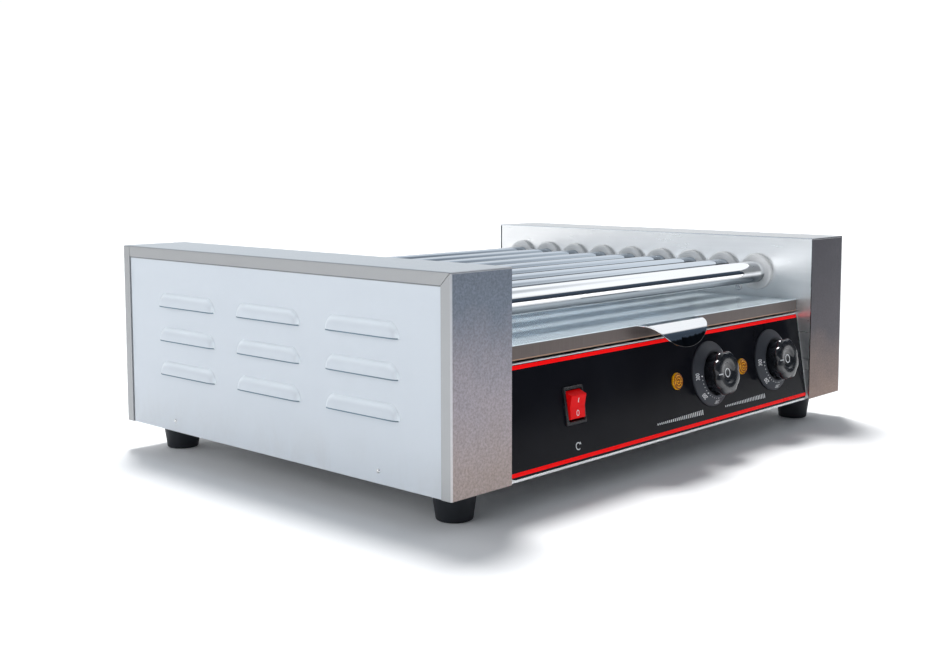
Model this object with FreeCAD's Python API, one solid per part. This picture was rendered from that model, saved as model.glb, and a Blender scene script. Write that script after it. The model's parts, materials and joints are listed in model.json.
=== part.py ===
"""Hot dog roller grill: nine driven, heated rollers between two sheet metal housings.

Millimetres. +Z up, the front faces -Y, X runs to the right as seen from the front.
The origin is on the floor, below the middle of the housings.
"""
import FreeCAD, Part
import math
import os
from FreeCAD import Matrix, Placement, Rotation, Vector

os.makedirs("parts", exist_ok=True)

# ---------------------------------------------------------------- driving dimensions
WIDTH = 580.0                 # over the two side borders
DEPTH = 420.0                 # housings, front to rear
FOOT_H = 25.6                 # floor to underside of the housings
HEIGHT = 188.0                # floor to top of the housings
HOUSING_W = 64.0              # each end housing
SHEET = 1.0                   # skins
PLATE = 1.5                   # bearing plates
PAN = 1.2                     # floor pan, panel and deck sheets
BORDER = 9.8                  # stainless border round each side panel
BEND_R = 1.2                  # outer bend radius of the housings

ROLLERS = 9
ROLLER_PITCH = 40.0
ROLLER_R = 11.0
ROLLER_WALL = 1.2
ROLLER_Y1 = -147.5            # front roller
ROLLER_Z = 151.5
RUNNING_FIT = 0.08            # radial clearance of shafts in their bores

CHAIN_PITCH = 6.35
CHAIN_ROLLER_R = 1.65
ROLLER_TEETH = 16
DRIVE_TEETH = 12
CHAIN_X = -240.0              # middle plane of the chain
SPROCKET_T = 2.4
TOOTH_TIP = 0.7               # tooth height above the pitch circle
TOOTH_GAP = 0.5               # room round a chain roller between two teeth

TRAY_TOP = 126.0
TRAY_FRONT = -194.0
TRAY_BACK = 186.0
TRAY_LIP = 11.6

PANEL_TILT = 9.1              # degrees back from upright
PANEL_FOOT = (-208.2, 26.1)   # Y, Z of the overlay's lower edge
PANEL_LEN = 88.0              # along the slope
OVERLAY_T = 0.4
CONTROL_S = 46.8              # height of the controls along the slope
SWITCH_X = -142.2
LAMP_X = (2.0, 110.0)
DIAL_X = (56.0, 164.0)

DIAL_R = 29.6
KNOB_H = 20.4
LAMP_R = 7.5
GLAND_X = 170.0
GLAND_Z = 62.0
GLAND_BORE = 4.2

# ---------------------------------------------------------------- derived dimensions
HALF_W = WIDTH / 2
HALF_D = DEPTH / 2
INNER_X = HALF_W - HOUSING_W            # faces that look at the rollers
ROLLER_YS = [ROLLER_Y1 + ROLLER_PITCH * i for i in range(ROLLERS)]
DECK_TOP = TRAY_TOP - 14.0
MOTOR_Y = 60.0
MOTOR_Z = 71.0
DRIVE_Z = 81.0
IDLER_Y = -70.0


def box(x0, y0, z0, x1, y1, z1):
    """Box between two corners, given in any order along X."""
    lo = Vector(min(x0, x1), min(y0, y1), min(z0, z1))
    return Part.makeBox(abs(x1 - x0), abs(y1 - y0), abs(z1 - z0), lo)


def rod(x0, x1, y, z, r):
    """Cylinder along X."""
    return Part.makeCylinder(r, abs(x1 - x0), Vector(min(x0, x1), y, z), Vector(1, 0, 0))


def upright(x, y, z0, z1, r):
    """Cylinder along Z."""
    return Part.makeCylinder(r, z1 - z0, Vector(x, y, z0), Vector(0, 0, 1))


def fuse(first, *others):
    """One clean solid from touching shapes."""
    return first.multiFuse(list(others)).removeSplitter()


def mirrored(shape):
    """The same piece for the other end of the machine."""
    return shape.mirror(Vector(0, 0, 0), Vector(1, 0, 0))


def revolved(profile, axis):
    """Closed (radius, height) outline turned about an axis direction at the origin."""
    side = Vector(0, 0, 1) if abs(axis.z) < 0.5 else Vector(1, 0, 0)
    points = [side * r + axis * h for r, h in profile]
    face = Part.Face(Part.makePolygon(points + points[:1]))
    return face.revolve(Vector(0, 0, 0), axis, 360)


def folded(points, thickness, x0, x1):
    """Sheet of constant thickness bent along a (Y, Z) line, run from x0 to x1.

    The thickness lies to the left of the line's direction."""
    offset = []
    for i, (y, z) in enumerate(points):
        normals = []
        for j in (i - 1, i):
            if 0 <= j < len(points) - 1:
                dy = points[j + 1][0] - points[j][0]
                dz = points[j + 1][1] - points[j][1]
                length = math.hypot(dy, dz)
                normals.append((-dz / length, dy / length))
        ny = sum(n[0] for n in normals) / len(normals)
        nz = sum(n[1] for n in normals) / len(normals)
        scale = thickness / (ny * ny + nz * nz)
        offset.append((y + ny * scale, z + nz * scale))
    ring = [Vector(x0, y, z) for y, z in points + offset[::-1]]
    face = Part.Face(Part.makePolygon(ring + ring[:1]))
    return face.extrude(Vector(x1 - x0, 0, 0))


def on_panel(shape, x):
    """Place a shape made on the panel's own axes: X along, Y up the slope, Z outwards."""
    tilt = math.radians(PANEL_TILT)
    up = Vector(0, math.sin(tilt), math.cos(tilt))
    out = Vector(0, -math.cos(tilt), math.sin(tilt))
    foot = Vector(x, *PANEL_FOOT) + up * CONTROL_S
    matrix = Matrix(1, up.x, out.x, foot.x,
                    0, up.y, out.y, foot.y,
                    0, up.z, out.z, foot.z,
                    0, 0, 0, 1)
    moved = shape.copy()
    moved.Placement = Placement(matrix)
    return moved


def save(name, *solids):
    """Write one sub-part; several solids make one node."""
    shape = solids[0] if len(solids) == 1 else Part.makeCompound(list(solids))
    if not shape.isValid():
        raise ValueError(name + " is not valid")
    shape.exportStep("parts/" + name + ".step")


# ---------------------------------------------------------------- housings
FOOT_X = HALF_W - 37.0
FOOT_Y = HALF_D - 33.0
FEET = [(sx * FOOT_X, sy * FOOT_Y) for sx in (-1, 1) for sy in (-1, 1)]
SCREW_R = 2.5


def base_pan():
    """Floor pan with upstands at the rear and under the bearing plates, and vent slots."""
    half_x = HALF_W - 3.2
    front = -HALF_D + 3.6
    back = HALF_D - 1.2
    pan = box(-half_x, front, FOOT_H, half_x, back, FOOT_H + PAN)
    rear = box(-half_x, back - PAN, FOOT_H, half_x, back, FOOT_H + 12)
    sides = [box(s * half_x, front, FOOT_H, s * (half_x - PAN), back, FOOT_H + 6) for s in (-1, 1)]
    pan = fuse(pan, rear, *sides)
    slots = []
    for sx in (-1, 1):
        for i in range(5):
            y = -70.0 + 35.0 * i
            slots.append(box(sx * 240, y - 2, FOOT_H - 1, sx * 276, y + 2, FOOT_H + 3))
    for i in range(7):
        x = -90.0 + 30.0 * i
        slots.append(box(x - 2, 60, FOOT_H - 1, x + 2, 150, FOOT_H + 3))
    holes = [upright(x, y, FOOT_H - 1, FOOT_H + 3, SCREW_R) for x, y in FEET]
    return pan.cut(Part.makeCompound(slots + holes))


def housing_cover(seamed):
    """Left wrap: front, top and rear walls with a narrow border folded round the side.

    The border's corner seams are cut on the left housing only; the right one's face outwards, unseen.
    """
    outer = box(-HALF_W, -HALF_D, FOOT_H, -INNER_X, HALF_D, HEIGHT)
    soft = []
    for edge in outer.Edges:
        b = edge.BoundBox
        on_side = abs(b.XMin + HALF_W) < 0.01 and abs(b.XMax + HALF_W) < 0.01 and b.ZMax > FOOT_H + 1
        on_top = b.XLength > 1 and b.ZMin > HEIGHT - 0.01
        if on_side or on_top:
            soft.append(edge)
    outer = outer.makeFillet(BEND_R, soft)
    hollow = box(-HALF_W + SHEET, -HALF_D + SHEET, 0, -INNER_X + 5, HALF_D - SHEET, HEIGHT - SHEET)
    window = box(-HALF_W - 1, -HALF_D + BORDER, 0, -HALF_W + 3, HALF_D - BORDER, HEIGHT - BORDER)
    cover = outer.cut(hollow).cut(window)
    if not seamed:
        return cover
    seam = 0.35
    mitre = box(-HALF_W - 1, BEND_R, -seam / 2, -HALF_W + SHEET, BORDER * 1.5, seam / 2)
    mitre.rotate(Vector(0, 0, 0), Vector(1, 0, 0), -45)
    mitre.translate(Vector(0, -HALF_D, HEIGHT))
    butt = box(-HALF_W - 1, HALF_D - BORDER - seam, HEIGHT - BORDER - 1,
               -HALF_W + SHEET, HALF_D - BORDER, HEIGHT - BEND_R)
    return cover.cut(mitre).cut(butt)


BUSH_HUB_R = 14.0


def inner_plate(side):
    """Bearing plate; the left one also has holes for the drive shaft and tensioner."""
    x0 = side * INNER_X
    x1 = side * (INNER_X + PLATE)
    bottom = FOOT_H + PAN
    plate = box(x0, -HALF_D + SHEET, bottom, x1, HALF_D - 2.6, HEIGHT - SHEET)
    foot = box(x0, -HALF_D + 5, bottom, side * (INNER_X + 14), HALF_D - 5, bottom + PLATE)
    plate = fuse(plate, foot)
    cuts = [rod(x0 - side, x1 + side, y, ROLLER_Z, BUSH_HUB_R) for y in ROLLER_YS]
    cuts += [rod(x0 - side, x1 + side, y, 45.0, 8.0) for y in (-120.0, 120.0)]
    if side < 0:
        cuts.append(rod(x0 - side, x1 + side, MOTOR_Y, DRIVE_Z, 9.0))
    return plate.cut(Part.makeCompound(cuts))


LOUVRE_LEN = 82.8
LOUVRE_H = 12.0
LOUVRE_OUT = 3.0
LOUVRE_Y = [151.4 - 113.8 * i - LOUVRE_LEN for i in range(3)]
LOUVRE_Z = [75.7, 106.0, 136.3]


def louvre(grow, depth):
    """One pressed louvre as a wedge with rounded top corners, lip down, at the origin."""
    wedge = Part.makePolygon([Vector(0, 0, -grow), Vector(-depth, 0, -grow), Vector(-depth, 0, 1.0),
                              Vector(0, 0, LOUVRE_H + grow), Vector(0, 0, -grow)])
    wedge = Part.Face(wedge).extrude(Vector(0, LOUVRE_LEN, 0))
    outline = box(-9, grow, -9, 9, LOUVRE_LEN - grow, LOUVRE_H)
    tops = [e for e in outline.Edges if e.BoundBox.XLength > 10 and e.BoundBox.ZMin > 1]
    return wedge.common(outline.makeFillet(LOUVRE_H * 0.6, tops))


def side_panel():
    """Left louvred panel, set behind the border."""
    x_out = -HALF_W + SHEET
    panel = box(x_out, -HALF_D + 1.4, FOOT_H, x_out + SHEET, HALF_D - 1.4, HEIGHT - 1.4)
    bumps = []
    slots = []
    for y in LOUVRE_Y:
        for z in LOUVRE_Z:
            bump = louvre(0.0, LOUVRE_OUT)
            bump.translate(Vector(x_out, y, z))
            bumps.append(bump)
            gap = louvre(0.8, LOUVRE_OUT - 0.8)
            gap.translate(Vector(x_out, y, z - 0.01))
            slots.append(gap)
            slots.append(box(x_out - 0.01, y + 4, z, x_out + SHEET + 1, y + LOUVRE_LEN - 4, z + 5))
    return fuse(panel, *bumps).cut(Part.makeCompound(slots))


def rear_panel():
    """Rear closing sheet below the rollers, with vent slots and the gland's hole."""
    x = INNER_X - 0.3
    y = HALF_D - 2.4
    sheet = folded([(y - 10, 138.0), (y, 138.0), (y, FOOT_H + 12.4)], SHEET, -x, x)
    cuts = [Part.makeCylinder(8.0, 6, Vector(GLAND_X, y - 3, GLAND_Z), Vector(0, 1, 0))]
    for i in range(9):
        slot_x = -150.0 + 26.0 * i
        cuts.append(box(slot_x - 2, y - 3, 60, slot_x + 2, y + 3, 105))
    return sheet.cut(Part.makeCompound(cuts))


def deck_plate():
    """Roof of the electrical bay, with edges turned down."""
    x = INNER_X - 0.4
    front = -HALF_D + 30.6
    back = HALF_D - 14.0
    top = box(-x, front, DECK_TOP - PAN, x, back, DECK_TOP)
    rim = [box(s * x, front, DECK_TOP - 9, s * (x - PAN), back, DECK_TOP) for s in (-1, 1)]
    rim.append(box(-x, back - PAN, DECK_TOP - 9, x, back, DECK_TOP))
    return fuse(top, *rim)


def tray_runner(side):
    """L rail that carries one edge of the drip tray."""
    x0 = side * INNER_X
    shelf = box(x0, -185, DECK_TOP + 1.0, side * (INNER_X - 12), 192, DECK_TOP + 2.2)
    web = box(x0, -185, DECK_TOP + 1.0, side * (INNER_X - 1.0), 192, TRAY_TOP - 2.2)
    return fuse(shelf, web)


def rubber_foot(x, y):
    """Tapered foot with a recess for its screw."""
    body = Part.makeCone(14.0, 18.0, FOOT_H, Vector(x, y, 0), Vector(0, 0, 1))
    rims = [e for e in body.Edges if abs(e.BoundBox.ZMax) < 0.01 and e.BoundBox.XLength > 10]
    body = body.makeFillet(1.5, rims)
    recess = upright(x, y, -1, 8, 6.5)
    return body.cut(recess).cut(upright(x, y, 7, FOOT_H + 1, SCREW_R))


def foot_screw(x, y):
    """Pan head in the foot's recess, shank through the pan, hexagon nut above it."""
    head = upright(x, y, 5.0, 8.0, 4.6)
    shank = upright(x, y, 8.0, FOOT_H + PAN + 6, SCREW_R)
    nut = Part.Face(Part.makePolygon([
        Vector(x + 4.6 * math.cos(math.radians(60 * i)), y + 4.6 * math.sin(math.radians(60 * i)),
               FOOT_H + PAN) for i in range(7)])).extrude(Vector(0, 0, 4))
    return fuse(head, shank, nut)


def plate_screw(side, y, z):
    """Pan head screw on the face of an inner plate, with its nut behind."""
    face = side * INNER_X
    head = rod(face, face - side * 1.6, y, z, 3.4)
    rims = [e for e in head.Edges if abs(e.BoundBox.XMin - (face - side * 1.6)) < 0.01
            and e.BoundBox.XLength < 0.01]
    head = head.makeFillet(0.9, rims)
    shank = rod(face, face + side * 8, y, z, 1.5)
    nut = rod(face + side * PLATE, face + side * (PLATE + 2.4), y, z, 3.2)
    return fuse(head, shank, nut)


def cover_rivet(side, y, z):
    """Small domed rivet through a side panel."""
    face = side * (HALF_W - SHEET)
    dome = Part.makeSphere(2.2, Vector(face - side * 1.2, y, z))
    dome = dome.common(box(face, y - 3, z - 3, face + side * 3, y + 3, z + 3))
    return fuse(dome, rod(face, face - side * 3.5, y, z, 1.2))


PLATE_SCREW_YZ = [(-126.5, 134.0), (-7.5, 134.0), (152.5, 134.0)]
RIVET_YZ = [(133.0, 35.2), (-133.0, 35.2)]


def pierced(shape, holes):
    """A shape with the shanks of its fasteners taken out of it."""
    return shape.cut(Part.makeCompound(holes))


def save_frame():
    """Every sheet, foot and fastener of the fixed body."""
    plate_holes = [rod(s * (INNER_X - 3), s * (INNER_X + 10), y, z, 1.5)
                   for s in (-1, 1) for y, z in PLATE_SCREW_YZ]
    rivet_holes = [rod(s * (HALF_W - 10), s * (HALF_W + 2), y, z, 1.2)
                   for s in (-1, 1) for y, z in RIVET_YZ]
    save("base_pan", base_pan())
    save("left_housing_cover", housing_cover(True))
    save("right_housing_cover", mirrored(housing_cover(False)))
    save("left_inner_plate", pierced(inner_plate(-1), plate_holes))
    save("right_inner_plate", pierced(inner_plate(1), plate_holes))
    save("left_side_panel", pierced(side_panel(), rivet_holes))
    save("right_side_panel", pierced(mirrored(side_panel()), rivet_holes))
    save("rear_panel", rear_panel())
    save("deck_plate", deck_plate())
    save("tray_runners", tray_runner(-1), tray_runner(1))
    save("rubber_feet", *[rubber_foot(x, y) for x, y in FEET])
    save("foot_screws", *[foot_screw(x, y) for x, y in FEET])
    save("plate_screws", *[plate_screw(s, y, z) for s in (-1, 1) for y, z in PLATE_SCREW_YZ])
    save("cover_rivets", *[cover_rivet(s, y, z) for s in (-1, 1) for y, z in RIVET_YZ])


# ---------------------------------------------------------------- control panel
BEZEL = (24.5, 30.5)
SWITCH_BODY = (20.8, 27.0)
LAMP_HOLE_R = 6.0
SHAFT_R = 3.0
SPINDLE_HOLE_R = 5.5


def control_panel():
    """Folded stainless panel: slanted face with a flange back at the top and the foot."""
    tilt = math.radians(PANEL_TILT)
    back = OVERLAY_T / math.cos(tilt)
    foot_y = PANEL_FOOT[0] + back
    foot_z = PANEL_FOOT[1] - 0.4
    top_y = foot_y + PANEL_LEN * math.sin(tilt)
    top_z = foot_z + PANEL_LEN * math.cos(tilt)
    x = INNER_X - 0.2
    line = [(top_y + 14, top_z), (top_y, top_z), (foot_y, foot_z)]
    sheet = folded(line, PAN, -x, x)
    holes = [on_panel(box(-SWITCH_BODY[0] / 2, -SWITCH_BODY[1] / 2, -6, SWITCH_BODY[0] / 2,
                          SWITCH_BODY[1] / 2, 1), SWITCH_X)]
    holes += [on_panel(Part.makeCylinder(LAMP_HOLE_R, 8, Vector(0, 0, -6)), lx) for lx in LAMP_X]
    holes += [on_panel(Part.makeCylinder(SPINDLE_HOLE_R, 8, Vector(0, 0, -6)), dx) for dx in DIAL_X]
    return sheet.cut(Part.makeCompound(holes))


def panel_overlay():
    """Printed sheet on the panel's face, corners rounded, pierced for the controls."""
    half = INNER_X - 1.6
    low = 1.6 - CONTROL_S
    high = PANEL_LEN - 0.8 - CONTROL_S
    sheet = box(-half, low, -OVERLAY_T, half, high, 0)
    sheet = sheet.makeFillet(5.0, [e for e in sheet.Edges if e.BoundBox.ZLength > 0.1])
    hole = box(SWITCH_X - SWITCH_BODY[0] / 2, -SWITCH_BODY[1] / 2, -2,
               SWITCH_X + SWITCH_BODY[0] / 2, SWITCH_BODY[1] / 2, 2)
    holes = [hole]
    holes += [Part.makeCylinder(LAMP_HOLE_R, 4, Vector(lx, 0, -2)) for lx in LAMP_X]
    holes += [Part.makeCylinder(SPINDLE_HOLE_R, 4, Vector(dx, 0, -2)) for dx in DIAL_X]
    return on_panel(sheet.cut(Part.makeCompound(holes)), 0)


ROCKER = (18.6, 24.2)           # at its wide back
ROCKER_FACE = (18.8, 6.3, 5.3)  # length, and height above the pivot at its ends and its middle
ROCKER_WELL = (19.4, 25.5)
ROCKER_PIVOT = -1.0           # below the overlay's face
ROCKER_TILT = 12.0            # to each side of level


def rocker_bezel():
    """Bezel frame with the switch body behind the panel."""
    w, h = BEZEL
    frame = box(-w / 2, -h / 2, 0, w / 2, h / 2, 2.2)
    frame = frame.makeFillet(1.0, [e for e in frame.Edges if e.BoundBox.ZMin > 2.1])
    body = box(-SWITCH_BODY[0] / 2, -SWITCH_BODY[1] / 2, -20, SWITCH_BODY[0] / 2,
               SWITCH_BODY[1] / 2, 0)
    well = box(-ROCKER_WELL[0] / 2, -ROCKER_WELL[1] / 2, -9.5, ROCKER_WELL[0] / 2,
               ROCKER_WELL[1] / 2, 5)
    tabs = [box(sx * 5 - 2.4, sy * 7 - 0.4, -28, sx * 5 + 2.4, sy * 7 + 0.4, -20)
            for sx in (-1, 1) for sy in (-1, 1)]
    return on_panel(fuse(frame, body, *tabs).cut(well), SWITCH_X)


def rocker_button():
    """Rocker with a shallow V face, at rest with its lower half pressed in."""
    w, h = ROCKER
    face, high, middle = ROCKER_FACE
    outline = [Vector(-w / 2, -h / 2, -1.5), Vector(-w / 2, -face / 2, high), Vector(-w / 2, 0, middle),
               Vector(-w / 2, face / 2, high), Vector(-w / 2, h / 2, -1.5), Vector(-w / 2, 0, -3.5)]
    button = Part.Face(Part.makePolygon(outline + outline[:1])).extrude(Vector(w, 0, 0))
    rims = [e for e in button.Edges if e.BoundBox.ZMin > middle - 0.1 and e.BoundBox.YLength > 1]
    button = button.makeFillet(0.5, rims)
    button.rotate(Vector(0, 0, 0), Vector(1, 0, 0), ROCKER_TILT)
    button.translate(Vector(0, 0, ROCKER_PIVOT))
    return on_panel(button, SWITCH_X)


def pilot_lamp():
    """Low domed lens with a neck in the panel's hole."""
    dome = revolved([(0, 0), (LAMP_R, 0), (LAMP_R, 1.2), (LAMP_R - 1.2, 2.4), (0, 2.8)],
                    Vector(0, 0, 1))
    return fuse(dome, Part.makeCylinder(LAMP_HOLE_R - 0.1, 3, Vector(0, 0, -3)))


def lamp_body():
    """Lamp holder behind the panel with two tabs."""
    body = Part.makeCylinder(7.2, 18, Vector(0, 0, -21))
    collar = Part.makeCylinder(8.5, 1.2, Vector(0, 0, -3 - 1.2))
    tabs = [box(s * 3 - 0.4, -2.4, -28, s * 3 + 0.4, 2.4, -21) for s in (-1, 1)]
    return fuse(body, collar, *tabs)


KNOB_BASE = 2.6
KNOB_BASE_R = 17.6
KNOB_FACE_R = 20.2
KNOB_FLUTES = 8
DISH_R = 8.6


def dial_ring():
    """Fixed conical scale ring, with a well that the knob's base turns in."""
    return revolved([(SHAFT_R + 2.6, 0), (DIAL_R, 0), (DIAL_R, 1.3), (DIAL_R - 1.0, 2.2), (21.6, 6.8),
                     (20.6, 7.0), (19.4, 6.4), (19.4, 1.8), (SHAFT_R + 2.6, 1.8)], Vector(0, 0, 1))


def knob():
    """Fluted knob that flares to a dished face, hollow behind, with a bore for its shaft."""
    body = revolved([(0, KNOB_BASE), (KNOB_BASE_R, KNOB_BASE), (KNOB_BASE_R + 0.2, 9.0),
                     (KNOB_FACE_R, 16.5), (KNOB_FACE_R, 18.6), (KNOB_FACE_R - 1.6, KNOB_H),
                     (DISH_R + 1.2, KNOB_H), (DISH_R, KNOB_H - 1.4), (0, KNOB_H - 1.8)],
                    Vector(0, 0, 1))
    flutes = []
    for i in range(KNOB_FLUTES):
        turn = math.radians(360.0 / KNOB_FLUTES * (i + 0.5))
        at = 25.6
        flute = Part.makeCylinder(7.2, 26, Vector(at * math.cos(turn), at * math.sin(turn), 0))
        flutes.append(flute)
    body = body.cut(Part.makeCompound(flutes))
    ring = Part.makeCylinder(14.6, 8.0, Vector(0, 0, 0)).cut(
        Part.makeCylinder(6.0, 8.0, Vector(0, 0, 0)))
    return body.cut(ring).cut(Part.makeCylinder(SHAFT_R, KNOB_H - 4, Vector(0, 0, 0)))


def knob_shaft():
    """Thermostat spindle, pressed into the knob."""
    return Part.makeCylinder(SHAFT_R, KNOB_H - 4 + 14, Vector(0, 0, -14))


def thermostat():
    """Capillary thermostat body with its threaded neck, nut and two tabs."""
    body = box(-17, -20, -30, 17, 20, -10)
    body = body.makeFillet(2.0, [e for e in body.Edges if e.BoundBox.ZLength > 10])
    neck = Part.makeCylinder(SPINDLE_HOLE_R - 0.3, 10, Vector(0, 0, -10))
    nut = Part.makeCylinder(8.0, 2.5, Vector(0, 0, -6))
    tabs = [box(s * 9 - 3, -0.4 - 12, -38, s * 9 + 3, 0.4 - 12, -30) for s in (-1, 1)]
    bore = Part.makeCylinder(SHAFT_R + RUNNING_FIT, 15, Vector(0, 0, -14))
    return fuse(body, neck, nut, *tabs).cut(bore)


def save_controls():
    """Panel, overlay, switch, lamps, dials, knobs and thermostats."""
    save("control_panel", control_panel())
    save("panel_overlay", panel_overlay())
    save("rocker_bezel", rocker_bezel())
    save("rocker_button", rocker_button())
    save("lamp_bodies", *[on_panel(lamp_body(), x) for x in LAMP_X])
    save("pilot_lamps", *[on_panel(pilot_lamp(), x) for x in LAMP_X])
    save("thermostats", *[on_panel(thermostat(), x) for x in DIAL_X])
    for side, x in zip(("left", "right"), DIAL_X):
        save(side + "_dial", on_panel(dial_ring(), x))
        save(side + "_knob", on_panel(knob(), x))
        save(side + "_knob_shaft", on_panel(knob_shaft(), x))


# ---------------------------------------------------------------- drip tray
HANDLE_X = -5.0
HANDLE_HALF_W = 44.0
HANDLE_LEN = 35.0
HANDLE_FLAT = 6.0
HANDLE_BEND_R = 14.0
HANDLE_BEND = 70.0            # degrees
HANDLE_T = 1.2


def drip_tray():
    """Shallow tray: flat floor, lip down at the front, runners down at the sides."""
    x = INNER_X - 0.7
    line = [(TRAY_FRONT, TRAY_TOP - TRAY_LIP), (TRAY_FRONT, TRAY_TOP), (TRAY_BACK, TRAY_TOP)]
    sheet = folded([(y, z) for y, z in line[::-1]], SHEET, -x, x)
    nose = [e for e in sheet.Edges if e.BoundBox.XLength > 100 and e.BoundBox.ZMin > TRAY_TOP - 0.01
            and e.BoundBox.YMax < TRAY_FRONT + 0.01]
    sheet = sheet.makeFillet(0.8, nose)
    stop = box(-x + 10, TRAY_BACK - SHEET, TRAY_TOP - SHEET, x - 10, TRAY_BACK, TRAY_TOP + 4.5)
    flange_low = DECK_TOP + 2.2 + 0.4
    sides = [box(s * (x - 2.4), TRAY_FRONT + 12, flange_low, s * (x - 3.4), TRAY_BACK, TRAY_TOP - 0.5)
             for s in (-1, 1)]
    return fuse(sheet, stop, *sides)


def tray_handle():
    """Tongue with a rounded end, bent down over the front edge of the tray."""
    bend = math.radians(HANDLE_BEND)
    start_y = TRAY_FRONT - 2.0
    bend_y = start_y - HANDLE_FLAT
    bend_z = TRAY_TOP - HANDLE_BEND_R
    straight = HANDLE_LEN - HANDLE_FLAT - HANDLE_BEND_R * bend
    away = Vector(0, -math.cos(bend), -math.sin(bend))

    def on_bend(r, angle):
        return Vector(0, bend_y - r * math.sin(angle), bend_z + r * math.cos(angle))

    corners = []
    edges = []
    for depth in (0.0, HANDLE_T):
        r = HANDLE_BEND_R - depth
        root = Vector(0, TRAY_FRONT, TRAY_TOP - depth)
        tip = on_bend(r, bend) + away * straight
        edges.append(Part.LineSegment(root, on_bend(r, 0)).toShape())
        edges.append(Part.Arc(on_bend(r, 0), on_bend(r, bend / 2), on_bend(r, bend)).toShape())
        edges.append(Part.LineSegment(on_bend(r, bend), tip).toShape())
        corners.append((root, tip))
    edges.append(Part.LineSegment(corners[0][0], corners[1][0]).toShape())
    edges.append(Part.LineSegment(corners[0][1], corners[1][1]).toShape())
    section = Part.Face(Part.Wire(Part.__sortEdges__(edges)))
    section.translate(Vector(HANDLE_X - HANDLE_HALF_W - 1, 0, 0))
    tongue = section.extrude(Vector(2 * HANDLE_HALF_W + 2, 0, 0))

    # The rounded outline is an ellipse in the plane of the bend's chord.
    tip = corners[0][1]
    root = Vector(0, start_y, TRAY_TOP)
    chord = tip - root
    normal = Vector(1, 0, 0).cross(chord).normalize()
    centre = Vector(HANDLE_X, start_y, TRAY_TOP)
    ellipse = Part.Ellipse(centre + Vector(HANDLE_HALF_W, 0, 0), centre + chord, centre).toShape()
    cutter = Part.Face(Part.Wire([ellipse]))
    cutter.translate(normal * -40.0)
    return tongue.common(cutter.extrude(normal * 80.0))


def save_tray():
    """Drip tray and its handle."""
    save("drip_tray", drip_tray())
    save("tray_handle", tray_handle())


# ---------------------------------------------------------------- rollers and elements
TUBE_LEFT = -INNER_X - 17.0
TUBE_RIGHT = INNER_X + 12.0
FLANGE_R = 18.6
FLANGE_T = 5.0
ELEMENT_R = 4.0
CARRIER_X = INNER_X + 24.0


def roller(y):
    """Polished tube with a rolled collar at the right end and a seat for its sprocket."""
    tube = rod(TUBE_LEFT, TUBE_RIGHT, y, ROLLER_Z, ROLLER_R)
    collar = rod(TUBE_RIGHT - 2.0, TUBE_RIGHT, y, ROLLER_Z, ROLLER_R + 1.6)
    bore = rod(TUBE_LEFT - 1, TUBE_RIGHT + 1, y, ROLLER_Z, ROLLER_R - ROLLER_WALL)
    return fuse(tube, collar).cut(bore)


def bushing(side, y):
    """White flanged bushing: rounded flange on the roller side, hub through the plate."""
    profile = [(ROLLER_R + RUNNING_FIT, -7.0), (BUSH_HUB_R, -7.0), (BUSH_HUB_R, 0.0), (FLANGE_R, 0.0),
               (FLANGE_R, FLANGE_T - 1.6), (FLANGE_R - 1.6, FLANGE_T),
               (ROLLER_R + 2.2, FLANGE_T), (ROLLER_R + 1.4, FLANGE_T - 0.8),
               (ROLLER_R + RUNNING_FIT, FLANGE_T - 0.8)]
    ring = revolved(profile, Vector(-side, 0, 0))
    ring.translate(Vector(side * INNER_X, y, ROLLER_Z))
    return ring


def heating_element(y):
    """Cartridge element inside a roller, with its ceramic head and terminal stud."""
    sheath = rod(-INNER_X + 20, CARRIER_X + 4, y, ROLLER_Z, ELEMENT_R)
    head = rod(CARRIER_X + PLATE, CARRIER_X + 9, y, ROLLER_Z, 6.0)
    stud = rod(CARRIER_X + 9, CARRIER_X + 16, y, ROLLER_Z, 1.8)
    return fuse(sheath, head, stud)


def element_carrier():
    """Channel on the right bearing plate that holds the elements' ends."""
    y0 = ROLLER_YS[0] - 20
    y1 = ROLLER_YS[-1] + 20
    low = ROLLER_Z - 12
    high = ROLLER_Z + 12
    web = box(CARRIER_X, y0, low, CARRIER_X + PLATE, y1, high)
    legs = [box(INNER_X + PLATE, y, low, CARRIER_X, y + PLATE, high) for y in (y0, y1 - PLATE)]
    lugs = [box(INNER_X + PLATE, y, low, INNER_X + 2 * PLATE, y + 11, high)
            for y in (y0 - 11 + PLATE, y1 - PLATE)]
    holes = [rod(CARRIER_X - 1, CARRIER_X + 3, y, ROLLER_Z, ELEMENT_R) for y in ROLLER_YS]
    return fuse(web, *legs, *lugs).cut(Part.makeCompound(holes))


# ---------------------------------------------------------------- chain drive
def pitch_radius(teeth):
    """Radius of the circle that the chain's pins lie on."""
    return CHAIN_PITCH / (2 * math.sin(math.pi / teeth))


def sprocket(teeth, bore_r, hub_r, hub_len):
    """Sprocket about the X axis, a gap between teeth at +Y, with a hub towards +X."""
    pitch_r = pitch_radius(teeth)
    disc = rod(-SPROCKET_T / 2, SPROCKET_T / 2, 0, 0, pitch_r + TOOTH_TIP)
    gaps = []
    for i in range(teeth):
        turn = 2 * math.pi * i / teeth
        gaps.append(rod(-3, 3, pitch_r * math.cos(turn), pitch_r * math.sin(turn),
                        CHAIN_ROLLER_R + TOOTH_GAP))
    disc = disc.cut(Part.makeCompound(gaps))
    hub = rod(-SPROCKET_T / 2, SPROCKET_T / 2 + hub_len, 0, 0, hub_r)
    return fuse(disc, hub).cut(rod(-20, 20, 0, 0, bore_r))


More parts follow.
